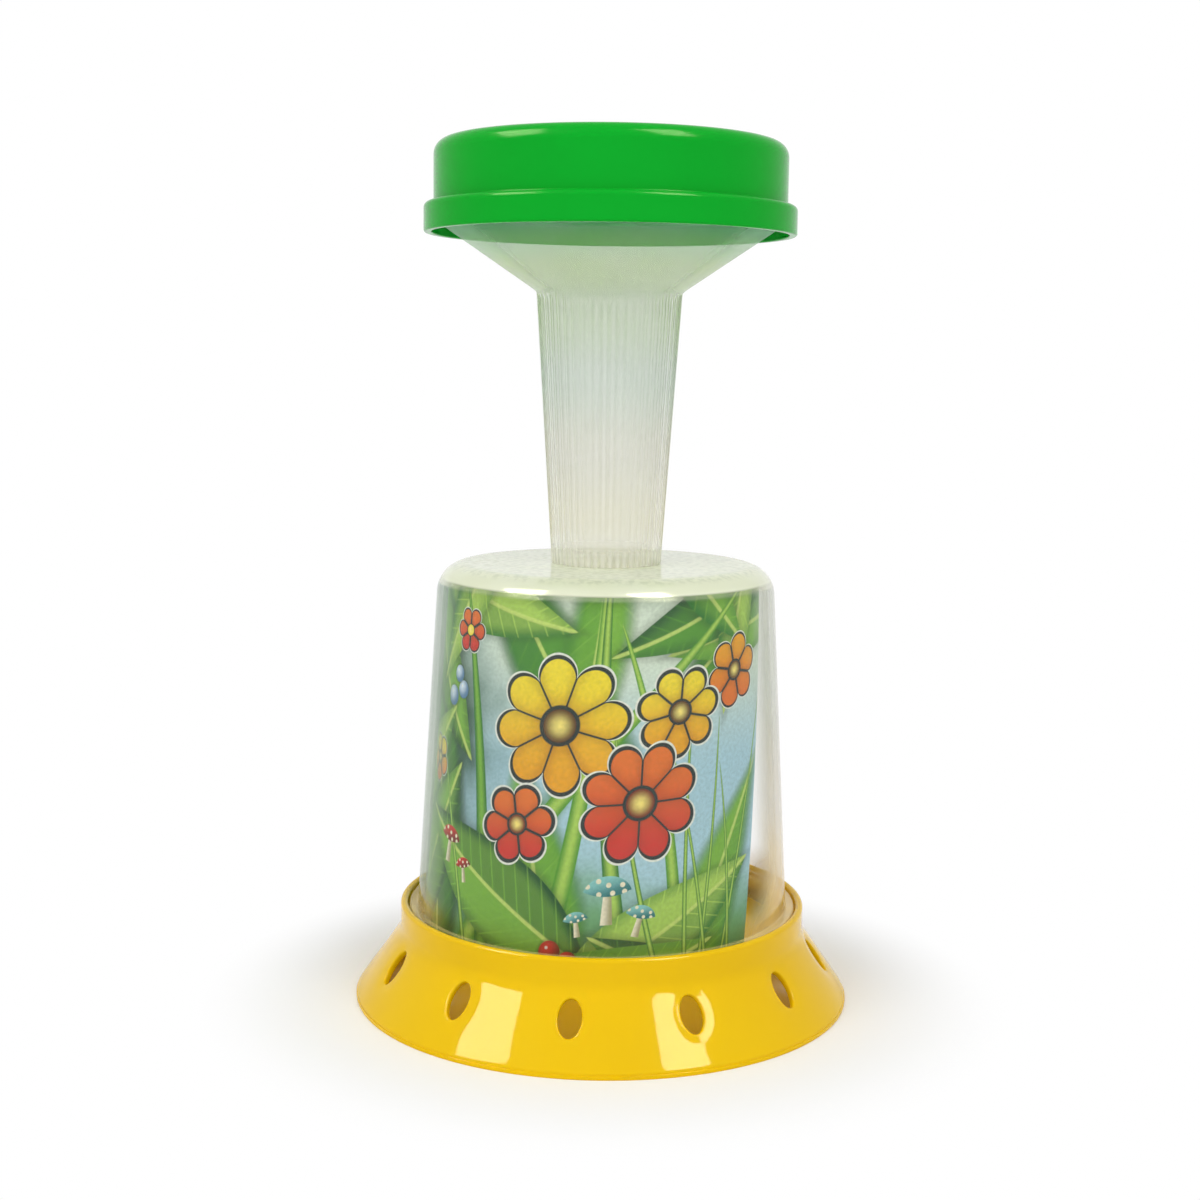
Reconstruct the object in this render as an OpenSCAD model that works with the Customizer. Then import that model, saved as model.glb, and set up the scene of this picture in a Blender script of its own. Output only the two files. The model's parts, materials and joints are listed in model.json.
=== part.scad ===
// Bug catcher jar: an open-bottomed jar on a vented base, with a ribbed funnel handle and a push-on cap.
// Millimetres, +Z up. The origin is the middle of the base's foot, and the front faces -Y.

/* [Jar] */
// Outside diameter of the jar's wall at its foot
jar_foot_d = 90.8; // [84:0.2:98]
// Height of the jar from its foot to its flat top
jar_h = 89.3; // [60:0.1:120]
// Draft of the jar's wall, in degrees from upright
jar_draft = 3.4; // [1:0.1:5]
// Thickness of the jar's wall
jar_wall = 1.5; // [1.1:0.1:2]
// Radius of the rounded shoulder round the flat top
shoulder_r = 7; // [4:0.5:10]
// Thickness of the flange that closes the collar's mouth
flange_t = 1.6; // [1:0.1:2.4]
// How far the flange's top lies below the collar's rim
flange_drop = 0.6; // [0.4:0.1:1.2]

/* [Twist lock] */
// Number of lugs on the jar's foot, and of lugs in the collar
lug_count = 4; // [2:1:5]
// How far the jar's lugs and flange stand out past the wall's foot
lug_reach = 1.7; // [1.2:0.1:2.2]
// Height of a lug
lug_h = 1.7; // [1.3:0.1:2]
// Arc of one of the jar's lugs, in degrees
lug_arc = 30; // [18:1:34]
// Running gap round the jar's foot inside the collar
lock_gap = 0.3; // [0.2:0.05:0.5]

/* [Base] */
// Diameter of the base's foot
base_foot_d = 120; // [112:0.5:130]
// Height of the base up to the collar's rim
base_h = 23.4; // [23:0.1:30]
// Height of the upright collar above the flared skirt
collar_h = 5.3; // [4:0.1:6]
// Thickness of the base's wall
base_wall = 1.8; // [1.4:0.1:2.4]
// Height of the upright band at the foot of the skirt
foot_band_h = 1.1; // [1.1:0.1:3]
// Height of the fine lip round the foot
foot_lip_h = 0.9; // [0.5:0.1:1.1]
// How far the lip stands out
foot_lip_out = 0.25; // [0.1:0.05:0.5]
// Radius of the hollow curve between the collar and the skirt
flare_top_r = 5; // [2:0.5:7]
// Radius of the round at the foot of the skirt
flare_foot_r = 1; // [0.5:0.1:3]
// Height of the floor's underside above the table
floor_z = 14.7; // [13.8:0.1:15]
// Thickness of the floor that the jar stands on
floor_t = 1.8; // [1.2:0.1:2.4]

/* [Vents] */
// Number of oval vents round the skirt
vent_count = 12; // [6:1:16]
// Width of a vent
vent_w = 5.4; // [3:0.1:7]
// Length of a vent, measured up the skirt
vent_l = 8.9; // [6:0.1:10]
// Height of a vent's centre above the table
vent_z = 11.2; // [8:0.1:11.6]
// Turn of the ring of vents from the front, in degrees
vent_phase = -7.5; // [-15:0.5:15]

/* [Air holes] */
// Diameter of an air hole in the floor
air_hole_d = 2.4; // [1.5:0.1:3]
// Distance between rings of air holes
air_ring_step = 9; // [7:0.5:11]
// Number of rings of air holes
air_rings = 3; // [1:1:3]

/* [Handle] */
// Outside diameter of the tube where it stands on the jar
tube_foot_d = 25.8; // [22:0.2:31]
// Outside diameter of the tube where the funnel begins
tube_top_d = 33.2; // [32:0.2:40]
// Length of the tube
tube_len = 62; // [45:1:90]
// Thickness of the tube's and the funnel's wall
handle_wall = 1.8; // [1.4:0.1:2.4]
// Radius of the hollow curve between tube and funnel
throat_r = 3.5; // [2:0.5:6]
// Slope of the funnel above the horizontal, in degrees
funnel_slope = 34; // [25:1:50]
// Outside diameter of the funnel's lip
mouth_d = 83.2; // [72:0.2:96]
// Inside radius of the turn from funnel to lip
lip_turn_r = 0.4; // [0.2:0.1:2]
// Height of the upright lip
lip_h = 0.6; // [0.4:0.1:4]

/* [Ribs] */
// Number of fine upright ribs round the tube
rib_count = 48; // [24:1:60]
// Width of a rib
rib_w = 0.9; // [0.5:0.1:1.2]
// How far a rib stands out at the top of the tube
rib_top_out = 0.5; // [0.3:0.05:0.8]
// How far a rib stands out at the foot of the tube
rib_foot_out = 0.2; // [0.1:0.05:0.4]

/* [Spigot] */
// How far the tube's foot overlaps the top of the jar round the hole
seat_w = 0.9; // [0.6:0.1:1.1]
// Gap between the spigot and the hole in the jar's top
spigot_gap = 0.1; // [0.05:0.05:0.2]
// How far the snap bead hooks under the top
snap_out = 0.5; // [0.3:0.1:0.8]
// Height of the snap bead
snap_h = 1.2; // [0.8:0.1:2]

/* [Cap] */
// Thickness of the cap's wall
cap_wall = 1.8; // [1.4:0.1:2.4]
// Gap between the funnel's lip and the cap's skirt
cap_gap = 0.3; // [0.2:0.05:0.5]
// Depth of the skirt below the ledge that rests on the lip
skirt_h = 5; // [3:0.5:9]
// Width of the ledge that rests on the lip
ledge_w = 2; // [1:0.1:3]
// Height of the cap's crown above the skirt's shoulder
crown_h = 14.4; // [8:0.2:24]
// Inside radius of the crown's rounded edge
crown_edge_r = 1.6; // [0.5:0.1:4]
// Radius of the skirt's rounded shoulder
band_edge_r = 1.2; // [0.6:0.1:1.6]
// Radius of the skirt's lower edge
skirt_edge_r = 0.4; // [0.2:0.05:0.6]

/* [Insert sheet] */
// Thickness of the rolled printed sheet
sheet_t = 0.4; // [0.3:0.05:0.6]
// Gap between the sheet and the jar's wall
sheet_gap = 0.3; // [0.2:0.05:0.6]
// Arc of the jar's wall that the sheet covers at half its height, in degrees
sheet_arc = 240; // [120:1:300]
// Where the middle of the sheet's right edge stands, in degrees to the right of the front
sheet_edge = 60; // [30:1:85]
// Lean of the sheet's side edges, outwards at the top, in degrees
sheet_lean = 11.5; // [1:0.5:14]
// How far the sheet's top edge stays below the jar's flat top
sheet_drop = 3.6; // [2.6:0.2:30]

/* [Hidden] */
$fn = 96;
// Steps in a rounded corner of an outline
corner_steps = 6;
// Overrun of a cut past the face that it opens
cut_over = 1;
// The front of the jar faces -Y
front_angle = -90;
// Holes that each further ring of air holes adds, and the sides of one hole
holes_a_ring = 6;
hole_sides = 32;
// Share of the snap bead's height that its sloping lead-in takes
snap_lead_share = 0.6;

// Collar and lock: the jar's lugs pass down between the keepers and turn under them
jar_foot_r = jar_foot_d / 2;
lock_r = jar_foot_r + lug_reach;
collar_in_r = lock_r + lock_gap;
collar_out_r = collar_in_r + base_wall;
floor_top = floor_z + floor_t;
lug_pitch = 360 / lug_count;
// The running gap and a stop's thickness, as arcs in degrees
gap_arc = lock_gap / lock_r * 180 / PI;
stop_arc = base_wall / lock_r * 180 / PI;
keeper_arc = stop_arc + lug_arc + 2 * gap_arc;
keeper_z = floor_top + lug_h + lock_gap;

// Skirt: the straight flare is the line that touches the hollow curve above and the round below
skirt_r = base_foot_d / 2 - foot_lip_out;
flare_top_c = [collar_out_r + flare_top_r, base_h - collar_h];
flare_foot_c = [skirt_r - flare_foot_r, foot_band_h];
flare_run = flare_foot_c[0] - flare_top_c[0];
flare_rise = flare_top_c[1] - flare_foot_c[1];
flare_angle = atan2(flare_run, flare_rise)
    + asin((flare_top_r + flare_foot_r) / norm([flare_run, flare_rise]));
// Radius of the flare's outside at a height, and of its inside
function flare_r(z) = flare_foot_c[0] + flare_foot_r / cos(flare_angle)
    - (z - flare_foot_c[1]) * tan(flare_angle);
function flare_in_r(z) = flare_r(z) - base_wall / cos(flare_angle);
skirt_in_r = skirt_r - base_wall;
// Height at which the upright inside of the foot band meets the flare's inside
skirt_bend_z = (flare_in_r(0) - skirt_in_r) / tan(flare_angle);

// Jar
jar_top = floor_top + jar_h;
function wall_r(z) = jar_foot_r - (z - floor_top) * tan(jar_draft);
function wall_in_r(z) = wall_r(z) - jar_wall / cos(jar_draft);
shoulder_z = jar_top - shoulder_r;
shoulder_c = [wall_r(shoulder_z) - shoulder_r / cos(jar_draft), shoulder_z];
shoulder_in_r = shoulder_r - jar_wall;
flange_top = base_h - flange_drop;
hole_r = tube_foot_d / 2 - seat_w;

// Handle: tube, hollow curve, funnel, turn and lip follow one another tangentially
tube_lean = atan2((tube_top_d - tube_foot_d) / 2, tube_len);
funnel_lean = 90 - funnel_slope;
throat_z = jar_top + tube_len;
throat_c = [tube_top_d / 2 + throat_r * cos(tube_lean), throat_z - throat_r * sin(tube_lean)];
mouth_r = mouth_d / 2;
lip_turn_out_r = lip_turn_r + handle_wall;
funnel_foot = throat_c + throat_r * [-cos(funnel_lean), sin(funnel_lean)];
funnel_head_r = mouth_r - lip_turn_out_r * (1 - cos(funnel_lean));
funnel_head_z = funnel_foot[1] + (funnel_head_r - funnel_foot[0]) * tan(funnel_slope);
lip_c = [mouth_r - lip_turn_out_r, funnel_head_z + lip_turn_out_r * sin(funnel_lean)];
lip_top = lip_c[1] + lip_h;
spigot_r = hole_r - spigot_gap;
bead_top = jar_top - jar_wall - spigot_gap;

// Cap
skirt_bore_r = mouth_r + cap_gap;
skirt_out_r = skirt_bore_r + cap_wall;
crown_in_r = mouth_r - ledge_w;
crown_out_r = crown_in_r + cap_wall;
band_top = lip_top + cap_wall;
cap_top = band_top + crown_h;

// Insert sheet: it stands clear of the wall, and of the shoulder's curve where it reaches that far up
sheet_top = jar_top - sheet_drop;
sheet_rise = max(0, sheet_top - shoulder_z);
sheet_foot_r = wall_in_r(floor_top) - sheet_gap;
sheet_top_r = min(wall_in_r(sheet_top), shoulder_c[0] + sqrt(pow(shoulder_in_r, 2) - pow(sheet_rise, 2)))
    - sheet_gap;

// Points of an arc round c, from angle a0 to a1
function arc(c, r, a0, a1) = [
    for (i = [0 : corner_steps])
        let (a = a0 + (a1 - a0) * i / corner_steps)
            c + r * [cos(a), sin(a)]
];

function reversed(list) = [for (i = [len(list) - 1 : -1 : 0]) list[i]];

// Part of a ring between two radii, standing on height z
module ring_block(r_in, r_out, z, h, arc_deg) {
    translate([0, 0, z])
        rotate_extrude(angle = arc_deg)
            translate([r_in, 0])
                square([r_out - r_in, h]);
}

module base_shell() {
    rim_r = base_wall / 2;
    rotate_extrude()
        polygon(concat(
            [[skirt_in_r, 0], [base_foot_d / 2, 0], [base_foot_d / 2, foot_lip_h], [skirt_r, foot_lip_h]],
            arc(flare_foot_c, flare_foot_r, 0, flare_angle),
            arc(flare_top_c, flare_top_r, 180 + flare_angle, 180),
            arc([collar_out_r - rim_r, base_h - rim_r], rim_r, 0, 180),
            [[collar_in_r, floor_top], [0, floor_top], [0, floor_z],
             [flare_in_r(floor_z), floor_z], [skirt_in_r, skirt_bend_z]]));
}

// An oval cut square to the flare
module vent() {
    translate([flare_r(vent_z), 0, vent_z])
        rotate([0, 90 - flare_angle, 0])
            linear_extrude(3 * base_wall, center = true)
                scale([vent_l / vent_w, 1])
                    circle(d = vent_w);
}

// One hole in the middle of the floor, and rings of holes round it
module air_holes() {
    for (ring = [0 : air_rings]) {
        count = max(1, holes_a_ring * ring);
        for (i = [0 : count - 1])
            rotate(360 * i / count)
                translate([ring * air_ring_step, 0, floor_z - cut_over])
                    cylinder(d = air_hole_d, h = floor_t + 2 * cut_over, $fn = hole_sides);
    }
}

// A lug inside the collar, with the stop below its far end
module keeper() {
    inner_r = jar_foot_r + lock_gap;
    outer_r = collar_in_r + base_wall / 2;
    stop_z = floor_z + floor_t / 2;
    ring_block(inner_r, outer_r, keeper_z, lug_h, keeper_arc);
    ring_block(inner_r, outer_r, stop_z, keeper_z + lug_h - stop_z, stop_arc);
}

module base() {
    color("gold") {
        difference() {
            base_shell();
            for (i = [0 : vent_count - 1])
                rotate(front_angle + vent_phase + 360 * i / vent_count)
                    vent();
            air_holes();
        }
        for (i = [0 : lug_count - 1])
            rotate(lug_pitch * i)
                keeper();
    }
}

// The sheet goes past both side edges at their widest, and a leaning block cuts each edge
module insert_sheet() {
    half_h = (sheet_top - floor_top) / 2;
    lean_run = half_h * tan(sheet_lean);
    over_arc = asin(lean_run / sheet_top_r);
    cut_w = 3 * lean_run + cut_over;
    color("yellowgreen")
        rotate(front_angle + sheet_edge - sheet_arc / 2)
            difference() {
                rotate(-sheet_arc / 2 - over_arc)
                    rotate_extrude(angle = sheet_arc + 2 * over_arc)
                        polygon([
                            [sheet_foot_r - sheet_t, floor_top],
                            [sheet_foot_r, floor_top],
                            [sheet_top_r, sheet_top],
                            [sheet_top_r - sheet_t, sheet_top]]);
                for (side = [0, 1])
                    mirror([0, side, 0])
                        rotate(sheet_arc / 2)
                            translate([0, 0, floor_top + half_h])
                                rotate([-sheet_lean, 0, 0])
                                    translate([0, 0, -2 * half_h])
                                        cube([sheet_foot_r + cut_over, cut_w, 4 * half_h]);
            }
}

module jar_cup() {
    rotate_extrude()
        polygon(concat(
            [[wall_in_r(floor_top), floor_top], [jar_foot_r, floor_top]],
            arc(shoulder_c, shoulder_r, jar_draft, 90),
            [[hole_r, jar_top], [hole_r, jar_top - jar_wall]],
            arc(shoulder_c, shoulder_in_r, 90, jar_draft)));
}

module jar() {
    root_r = wall_r(flange_top) - jar_wall / 2;
    color("honeydew", 0.5) {
        jar_cup();
        ring_block(root_r, lock_r, flange_top - flange_t, flange_t, 360);
        for (i = [0 : lug_count - 1])
            rotate(lug_pitch * i + keeper_arc + gap_arc)
                ring_block(root_r, lock_r, floor_top, lug_h, lug_arc);
    }
}

// Outline of the handle's wall at a depth below its outside, from the tube's foot up to the lip
function handle_skin(depth) = concat(
    [[tube_foot_d / 2 - depth / cos(tube_lean), jar_top]],
    arc(throat_c, throat_r + depth, 180 - tube_lean, 180 - funnel_lean),
    arc(lip_c, lip_turn_out_r - depth, -funnel_lean, 0),
    [[mouth_r - depth, lip_top]]);

// A fin that stands a little proud of the tube, more at its top than at its foot
module rib() {
    foot_r = tube_foot_d / 2;
    root = handle_wall / 2;
    // The fin goes on past the tube until the hollow curve has swallowed it
    run_out = sqrt(2 * throat_r * rib_top_out) + rib_w / 2;
    end_r = tube_top_d / 2 + run_out * tan(tube_lean);
    rotate([90, 0, 0])
        linear_extrude(rib_w, center = true)
            polygon([
                [foot_r - root, jar_top],
                [foot_r + rib_foot_out, jar_top],
                [end_r + rib_top_out, throat_z + run_out],
                [end_r - root, throat_z + run_out]]);
}

module handle() {
    bore_r = handle_skin(handle_wall)[0][0];
    bead_foot = bead_top - snap_h;
    color("honeydew", 0.7) {
        rotate_extrude()
            polygon(concat(
                handle_skin(0),
                reversed(handle_skin(handle_wall)),
                [[bore_r, bead_foot],
                 [spigot_r, bead_foot],
                 [spigot_r + snap_out, bead_foot + snap_h * snap_lead_share],
                 [spigot_r + snap_out, bead_top],
                 [spigot_r, bead_top],
                 [spigot_r, jar_top]]));
        for (i = [0 : rib_count - 1])
            rotate(front_angle + 360 * i / rib_count)
                rib();
    }
}

module cap() {
    skirt_z = lip_top - skirt_h;
    crown_c = [crown_in_r - crown_edge_r, cap_top - cap_wall - crown_edge_r];
    color("limegreen")
        rotate_extrude()
            polygon(concat(
                [[skirt_bore_r, skirt_z]],
                arc([skirt_out_r - skirt_edge_r, skirt_z + skirt_edge_r], skirt_edge_r, -90, 0),
                arc([skirt_out_r - band_edge_r, band_top - band_edge_r], band_edge_r, 0, 90),
                [[crown_out_r, band_top]],
                arc(crown_c, crown_edge_r + cap_wall, 0, 90),
                [[0, cap_top], [0, cap_top - cap_wall]],
                arc(crown_c, crown_edge_r, 90, 0),
                [[crown_in_r, lip_top], [skirt_bore_r, lip_top]]));
}

base();
insert_sheet();
jar();
handle();
cap();
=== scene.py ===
# %% [markdown]
# # A bug catcher jar
# The toy is five plastic and paper pieces round one axis: a vented base, a milky jar with a printed sheet
# inside, a ribbed tube that opens into a funnel, and a cap. The frame holds their real sizes and places.
# This lesson dresses each piece over its solid, so it starts by loading the frame and keeping its box.

# %% Load the frame
import json
import math

import bmesh
import bpy
from mathutils import Matrix, Vector

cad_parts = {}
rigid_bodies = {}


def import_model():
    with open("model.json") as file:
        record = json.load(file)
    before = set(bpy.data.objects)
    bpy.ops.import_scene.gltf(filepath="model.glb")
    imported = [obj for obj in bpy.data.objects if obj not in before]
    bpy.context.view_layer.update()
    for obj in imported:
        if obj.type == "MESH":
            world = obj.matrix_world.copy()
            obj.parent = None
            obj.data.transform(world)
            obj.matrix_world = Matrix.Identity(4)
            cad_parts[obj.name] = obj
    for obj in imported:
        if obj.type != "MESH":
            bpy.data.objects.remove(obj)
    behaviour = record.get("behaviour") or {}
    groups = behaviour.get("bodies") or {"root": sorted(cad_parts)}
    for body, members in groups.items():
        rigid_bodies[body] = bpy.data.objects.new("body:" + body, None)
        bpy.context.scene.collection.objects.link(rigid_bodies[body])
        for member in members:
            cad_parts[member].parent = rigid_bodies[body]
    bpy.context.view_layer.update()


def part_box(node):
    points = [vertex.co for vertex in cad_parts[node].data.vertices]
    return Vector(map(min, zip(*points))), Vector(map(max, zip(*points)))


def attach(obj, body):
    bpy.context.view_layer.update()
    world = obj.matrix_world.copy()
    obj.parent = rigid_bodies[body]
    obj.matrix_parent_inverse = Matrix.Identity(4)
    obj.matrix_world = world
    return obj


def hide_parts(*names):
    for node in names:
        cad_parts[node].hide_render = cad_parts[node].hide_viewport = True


for old in list(bpy.data.objects):
    bpy.data.objects.remove(old)
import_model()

# %% [markdown]
# Sizes are easier to read in millimetres, so the outlines below are written in them and scaled once, when a
# mesh is made. What the frame's boxes can say is read from them: the heights at which the pieces meet, and
# the radii of the foot, the mouth and the cap. Wall thicknesses and roundings can't be read from a box, so
# they have names here.

# %% Heights and radii from the frame
MM = 0.001


def top_of(node):
    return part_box(node)[1].z / MM


def foot_of(node):
    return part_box(node)[0].z / MM


def radius_of(node):
    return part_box(node)[1].x / MM


base_rim_z = top_of("base")
base_foot_r = radius_of("base")
floor_top_z = foot_of("jar")
jar_top_z = top_of("jar")
lock_r = radius_of("jar")
spigot_foot_z = foot_of("handle")
lip_top_z = top_of("handle")
mouth_r = radius_of("handle")
cap_skirt_z = foot_of("cap")
cap_top_z = top_of("cap")
cap_skirt_r = radius_of("cap")
sheet_top_z = top_of("insert_sheet")
print(f"the floor is at {floor_top_z:.2f}, the jar's top at {jar_top_z:.2f}, the lip at {lip_top_z:.2f} mm")

# %% [markdown]
# ## Outlines with rounded corners
# Moulded plastic has no razor edges: every corner has a small radius, and that radius is what catches the
# light. An outline is therefore a short list of corners, each with its own radius, and one function puts
# the arcs in. It also adds a point a little before and after each arc. Smooth shading averages the normals
# of the faces that meet, and these extra points keep the average from leaking into the flat stretches.

# %% The outline helper
def tangent_length(before, corner, after, radius):
    """How far from the corner an arc of this radius starts."""
    turn = (corner - before).angle(after - corner)
    return radius * math.tan(turn / 2)


def rounded(corners, steps=6, margin=0.25):
    """The closed outline's points. Each corner is (radius from the axis, height, fillet), in mm."""
    points = []
    count = len(corners)
    for i, (r, z, fillet) in enumerate(corners):
        corner = Vector((r, z))
        before = Vector(corners[i - 1][:2])
        after = Vector(corners[(i + 1) % count][:2])
        if fillet == 0:
            points.append(corner)
            continue
        to_before = (before - corner).normalized()
        to_after = (after - corner).normalized()
        reach = tangent_length(before, corner, after, fillet)
        start = corner + to_before * reach
        end = corner + to_after * reach
        centre = corner + (to_before + to_after).normalized() * math.hypot(reach, fillet)
        points.append(start + to_before * min(margin, reach))
        first = start - centre
        sweep = first.angle_signed(end - centre)
        for k in range(steps + 1):
            angle = -sweep * k / steps
            points.append(centre + Matrix.Rotation(angle, 2) @ first)
        points.append(end + to_after * min(margin, reach))
    return points


def along(point, angle_deg, distance):
    """The point that lies this far from another, at an angle above the horizontal."""
    angle = math.radians(angle_deg)
    return (point[0] + distance * math.cos(angle), point[1] + distance * math.sin(angle))


print("a rounded square corner has", len(rounded([(0, 0, 0), (4, 0, 0), (4, 4, 1), (0, 4, 0)])) - 3, "points")

# %% [markdown]
# ## Node trees in a few words
# Both shader trees and geometry trees are built from the same kind of step: make a node, set its options,
# fill its sockets with numbers or with other nodes' outputs. This small class keeps those steps to a line.

# %% A helper that builds node trees
class Nodes:
    """Adds nodes to one tree. A value for a socket is a plain value or another node's output."""

    def __init__(self, tree):
        self.tree = tree

    def put(self, socket, value):
        if isinstance(value, bpy.types.NodeSocket):
            self.tree.links.new(value, socket)
        else:
            socket.default_value = value

    def add(self, kind, options=None, **sockets):
        """One node. options are its settings, and sockets are named with _ for a space."""
        node = self.tree.nodes.new(kind)
        for name, value in (options or {}).items():
            setattr(node, name, value)
        for name, value in sockets.items():
            self.put(node.inputs[name.replace("_", " ")], value)
        return node

    def maths(self, operation, *values):
        node = self.add("ShaderNodeMath", {"operation": operation})
        for socket, value in zip(node.inputs, values):
            self.put(socket, value)
        return node.outputs[0]

    def plus(self, total, *values):
        for value in values:
            total = self.maths("ADD", total, value)
        return total

    def minus(self, a, b):
        return self.maths("SUBTRACT", a, b)

    def times(self, product, *values):
        for value in values:
            product = self.maths("MULTIPLY", product, value)
        return product

    def over(self, a, b):
        return self.maths("DIVIDE", a, b)

    def smooth(self, value, start, end, low=0.0, high=1.0):
        """Rises smoothly from low to high as value goes from start to end."""
        node = self.add("ShaderNodeMapRange", {"interpolation_type": "SMOOTHSTEP"}, Value=value,
                        From_Min=start, From_Max=end, To_Min=low, To_Max=high)
        return node.outputs["Result"]

    def lengths(self, x, y):
        return self.maths("SQRT", self.plus(self.times(x, x), self.times(y, y)))

    def parts(self, vector):
        return self.add("ShaderNodeSeparateXYZ", Vector=vector).outputs

    def point(self, x, y, z):
        return self.add("ShaderNodeCombineXYZ", X=x, Y=y, Z=z).outputs[0]

    def shade(self, factor, first, second):
        """Mixes two colours: the first at a factor of 0, the second at 1."""
        node = self.add("ShaderNodeMix", {"data_type": "RGBA"}, Factor=factor, A=first, B=second)
        return node.outputs["Result"]


# %% Helpers for objects and geometry trees
def put_in_scene(name, data):
    """A new object with this mesh, lamp or camera."""
    made = bpy.data.objects.new(name, data)
    bpy.context.scene.collection.objects.link(made)
    return made


def object_from_points(name, points, faces=()):
    mesh = bpy.data.meshes.new(name)
    mesh.from_pydata(points, [], faces)
    return put_in_scene(name, mesh)


def object_from_bmesh(name, built):
    mesh = bpy.data.meshes.new(name)
    built.to_mesh(mesh)
    built.free()
    return put_in_scene(name, mesh)


def socket_of(tree, name):
    """A modifier's input is set by its identifier, not by its name."""
    return next(s.identifier for s in tree.interface.items_tree if s.name == name and s.in_out == "INPUT")


def geometry_tree(name, **inputs):
    """An empty geometry tree with named inputs, given as a socket type and a default."""
    tree = bpy.data.node_groups.new(name, "GeometryNodeTree")
    tree.interface.new_socket("Geometry", in_out="INPUT", socket_type="NodeSocketGeometry")
    tree.interface.new_socket("Geometry", in_out="OUTPUT", socket_type="NodeSocketGeometry")
    for label, (kind, default) in inputs.items():
        socket = tree.interface.new_socket(label.replace("_", " "), in_out="INPUT", socket_type=kind)
        if default is not None:
            socket.default_value = default
    nodes = Nodes(tree)
    return tree, nodes, nodes.add("NodeGroupInput").outputs, nodes.add("NodeGroupOutput")


def run_tree(source, tree, name, **values):
    """Runs a tree on a mesh object and keeps the result as a plain mesh with no modifier."""
    modifier = source.modifiers.new("run", "NODES")
    modifier.node_group = tree
    for label, value in values.items():
        modifier[socket_of(tree, label.replace("_", " "))] = value
    evaluated = source.evaluated_get(bpy.context.evaluated_depsgraph_get())
    mesh = bpy.data.meshes.new_from_object(evaluated)
    mesh.name = name
    source.modifiers.clear()
    bpy.data.objects.remove(source)
    return put_in_scene(name, mesh)


def report(made):
    """Prints a piece's size, and whether it is closed and faces outward."""
    checked = bmesh.new()
    checked.from_mesh(made.data)
    open_edges = sum(not edge.is_manifold for edge in checked.edges)
    volume = checked.calc_volume(signed=True) / MM**3
    triangles = sum(len(face.verts) - 2 for face in checked.faces)
    checked.free()
    print(f"{made.name}: {triangles} triangles, {volume:.0f} mm3, {open_edges} open edges")
    return made


# %% [markdown]
# ## Turning an outline round the axis
# Jar, handle and cap are bodies of revolution. Blender's Spin or Screw would do, but a small Geometry Nodes
# tree is easier to reuse: it makes a grid with one column per step and one row per outline point, looks up
# each row's radius and height, and bends the grid round the axis. The seam and the pole close by merging the
# points that meet, and the loose edges that this leaves are deleted.

# %% The revolve tree
INT, FLOAT, COLOR, MATERIAL = "NodeSocketInt", "NodeSocketFloat", "NodeSocketColor", "NodeSocketMaterial"
seam_gap = 2e-6
crease_angle = 0.6
round_steps = 256


def finish_tree(n, geometry, material, result, crease=None):
    """The last steps of every tree: smooth faces, sharp edges past a crease, real geometry, the material."""
    shaded = n.add("GeometryNodeSetShadeSmooth", Geometry=geometry).outputs[0]
    if crease:
        steep = n.maths("GREATER_THAN", n.add("GeometryNodeInputMeshEdgeAngle").outputs[0], crease)
        shaded = n.add("GeometryNodeSetShadeSmooth", {"domain": "EDGE"}, Geometry=shaded, Selection=steep,
                       Shade_Smooth=False).outputs[0]
    real = n.add("GeometryNodeRealizeInstances", Geometry=shaded)
    dressed = n.add("GeometryNodeSetMaterial", Geometry=real.outputs[0], Material=material)
    n.put(result.inputs[0], dressed.outputs[0])


def make_revolve_tree():
    tree, n, given, result = geometry_tree("Revolve", Steps=(INT, round_steps), Material=(MATERIAL, None))
    rows = n.add("GeometryNodeAttributeDomainSize", Geometry=given["Geometry"]).outputs["Point Count"]
    grid = n.add("GeometryNodeMeshGrid", Size_X=1.0, Size_Y=1.0, Vertices_X=n.plus(given["Steps"], 1.0),
                 Vertices_Y=n.plus(rows, 1.0))
    across, up, _ = n.parts(n.add("GeometryNodeInputPosition").outputs[0])
    column = n.maths("ROUND", n.times(n.plus(across, 0.5), given["Steps"]))
    row = n.maths("MODULO", n.maths("ROUND", n.times(n.plus(up, 0.5), rows)), rows)
    outline = n.add("GeometryNodeSampleIndex", {"data_type": "FLOAT_VECTOR"}, Geometry=given["Geometry"],
                    Value=n.add("GeometryNodeInputPosition").outputs[0], Index=row)
    radius, _, height = n.parts(outline.outputs["Value"])
    angle = n.over(n.times(column, math.tau), given["Steps"])
    bent = n.add("GeometryNodeSetPosition", Geometry=grid.outputs["Mesh"], Position=n.point(
        n.times(radius, n.maths("COSINE", angle)), n.times(radius, n.maths("SINE", angle)), height))
    closed = n.add("GeometryNodeMergeByDistance", Geometry=bent.outputs[0], Distance=seam_gap)
    loose = n.maths("LESS_THAN", n.add("GeometryNodeInputMeshEdgeNeighbors").outputs[0], 0.5)
    clean = n.add("GeometryNodeDeleteGeometry", {"domain": "EDGE"}, Geometry=closed.outputs[0],
                  Selection=loose)
    finish_tree(n, clean.outputs[0], given["Material"], result)
    return tree


revolve_tree = make_revolve_tree()


def revolve(name, points, material, steps=round_steps):
    """Turns an outline, whose points go to the tree with the radius along X and the height along Z."""
    outline = object_from_points("outline", [(p[0] * MM, 0, p[1] * MM) for p in points])
    return run_tree(outline, revolve_tree, name, Steps=steps, Material=material)


print("the revolve tree has", len(revolve_tree.nodes), "nodes")

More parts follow.
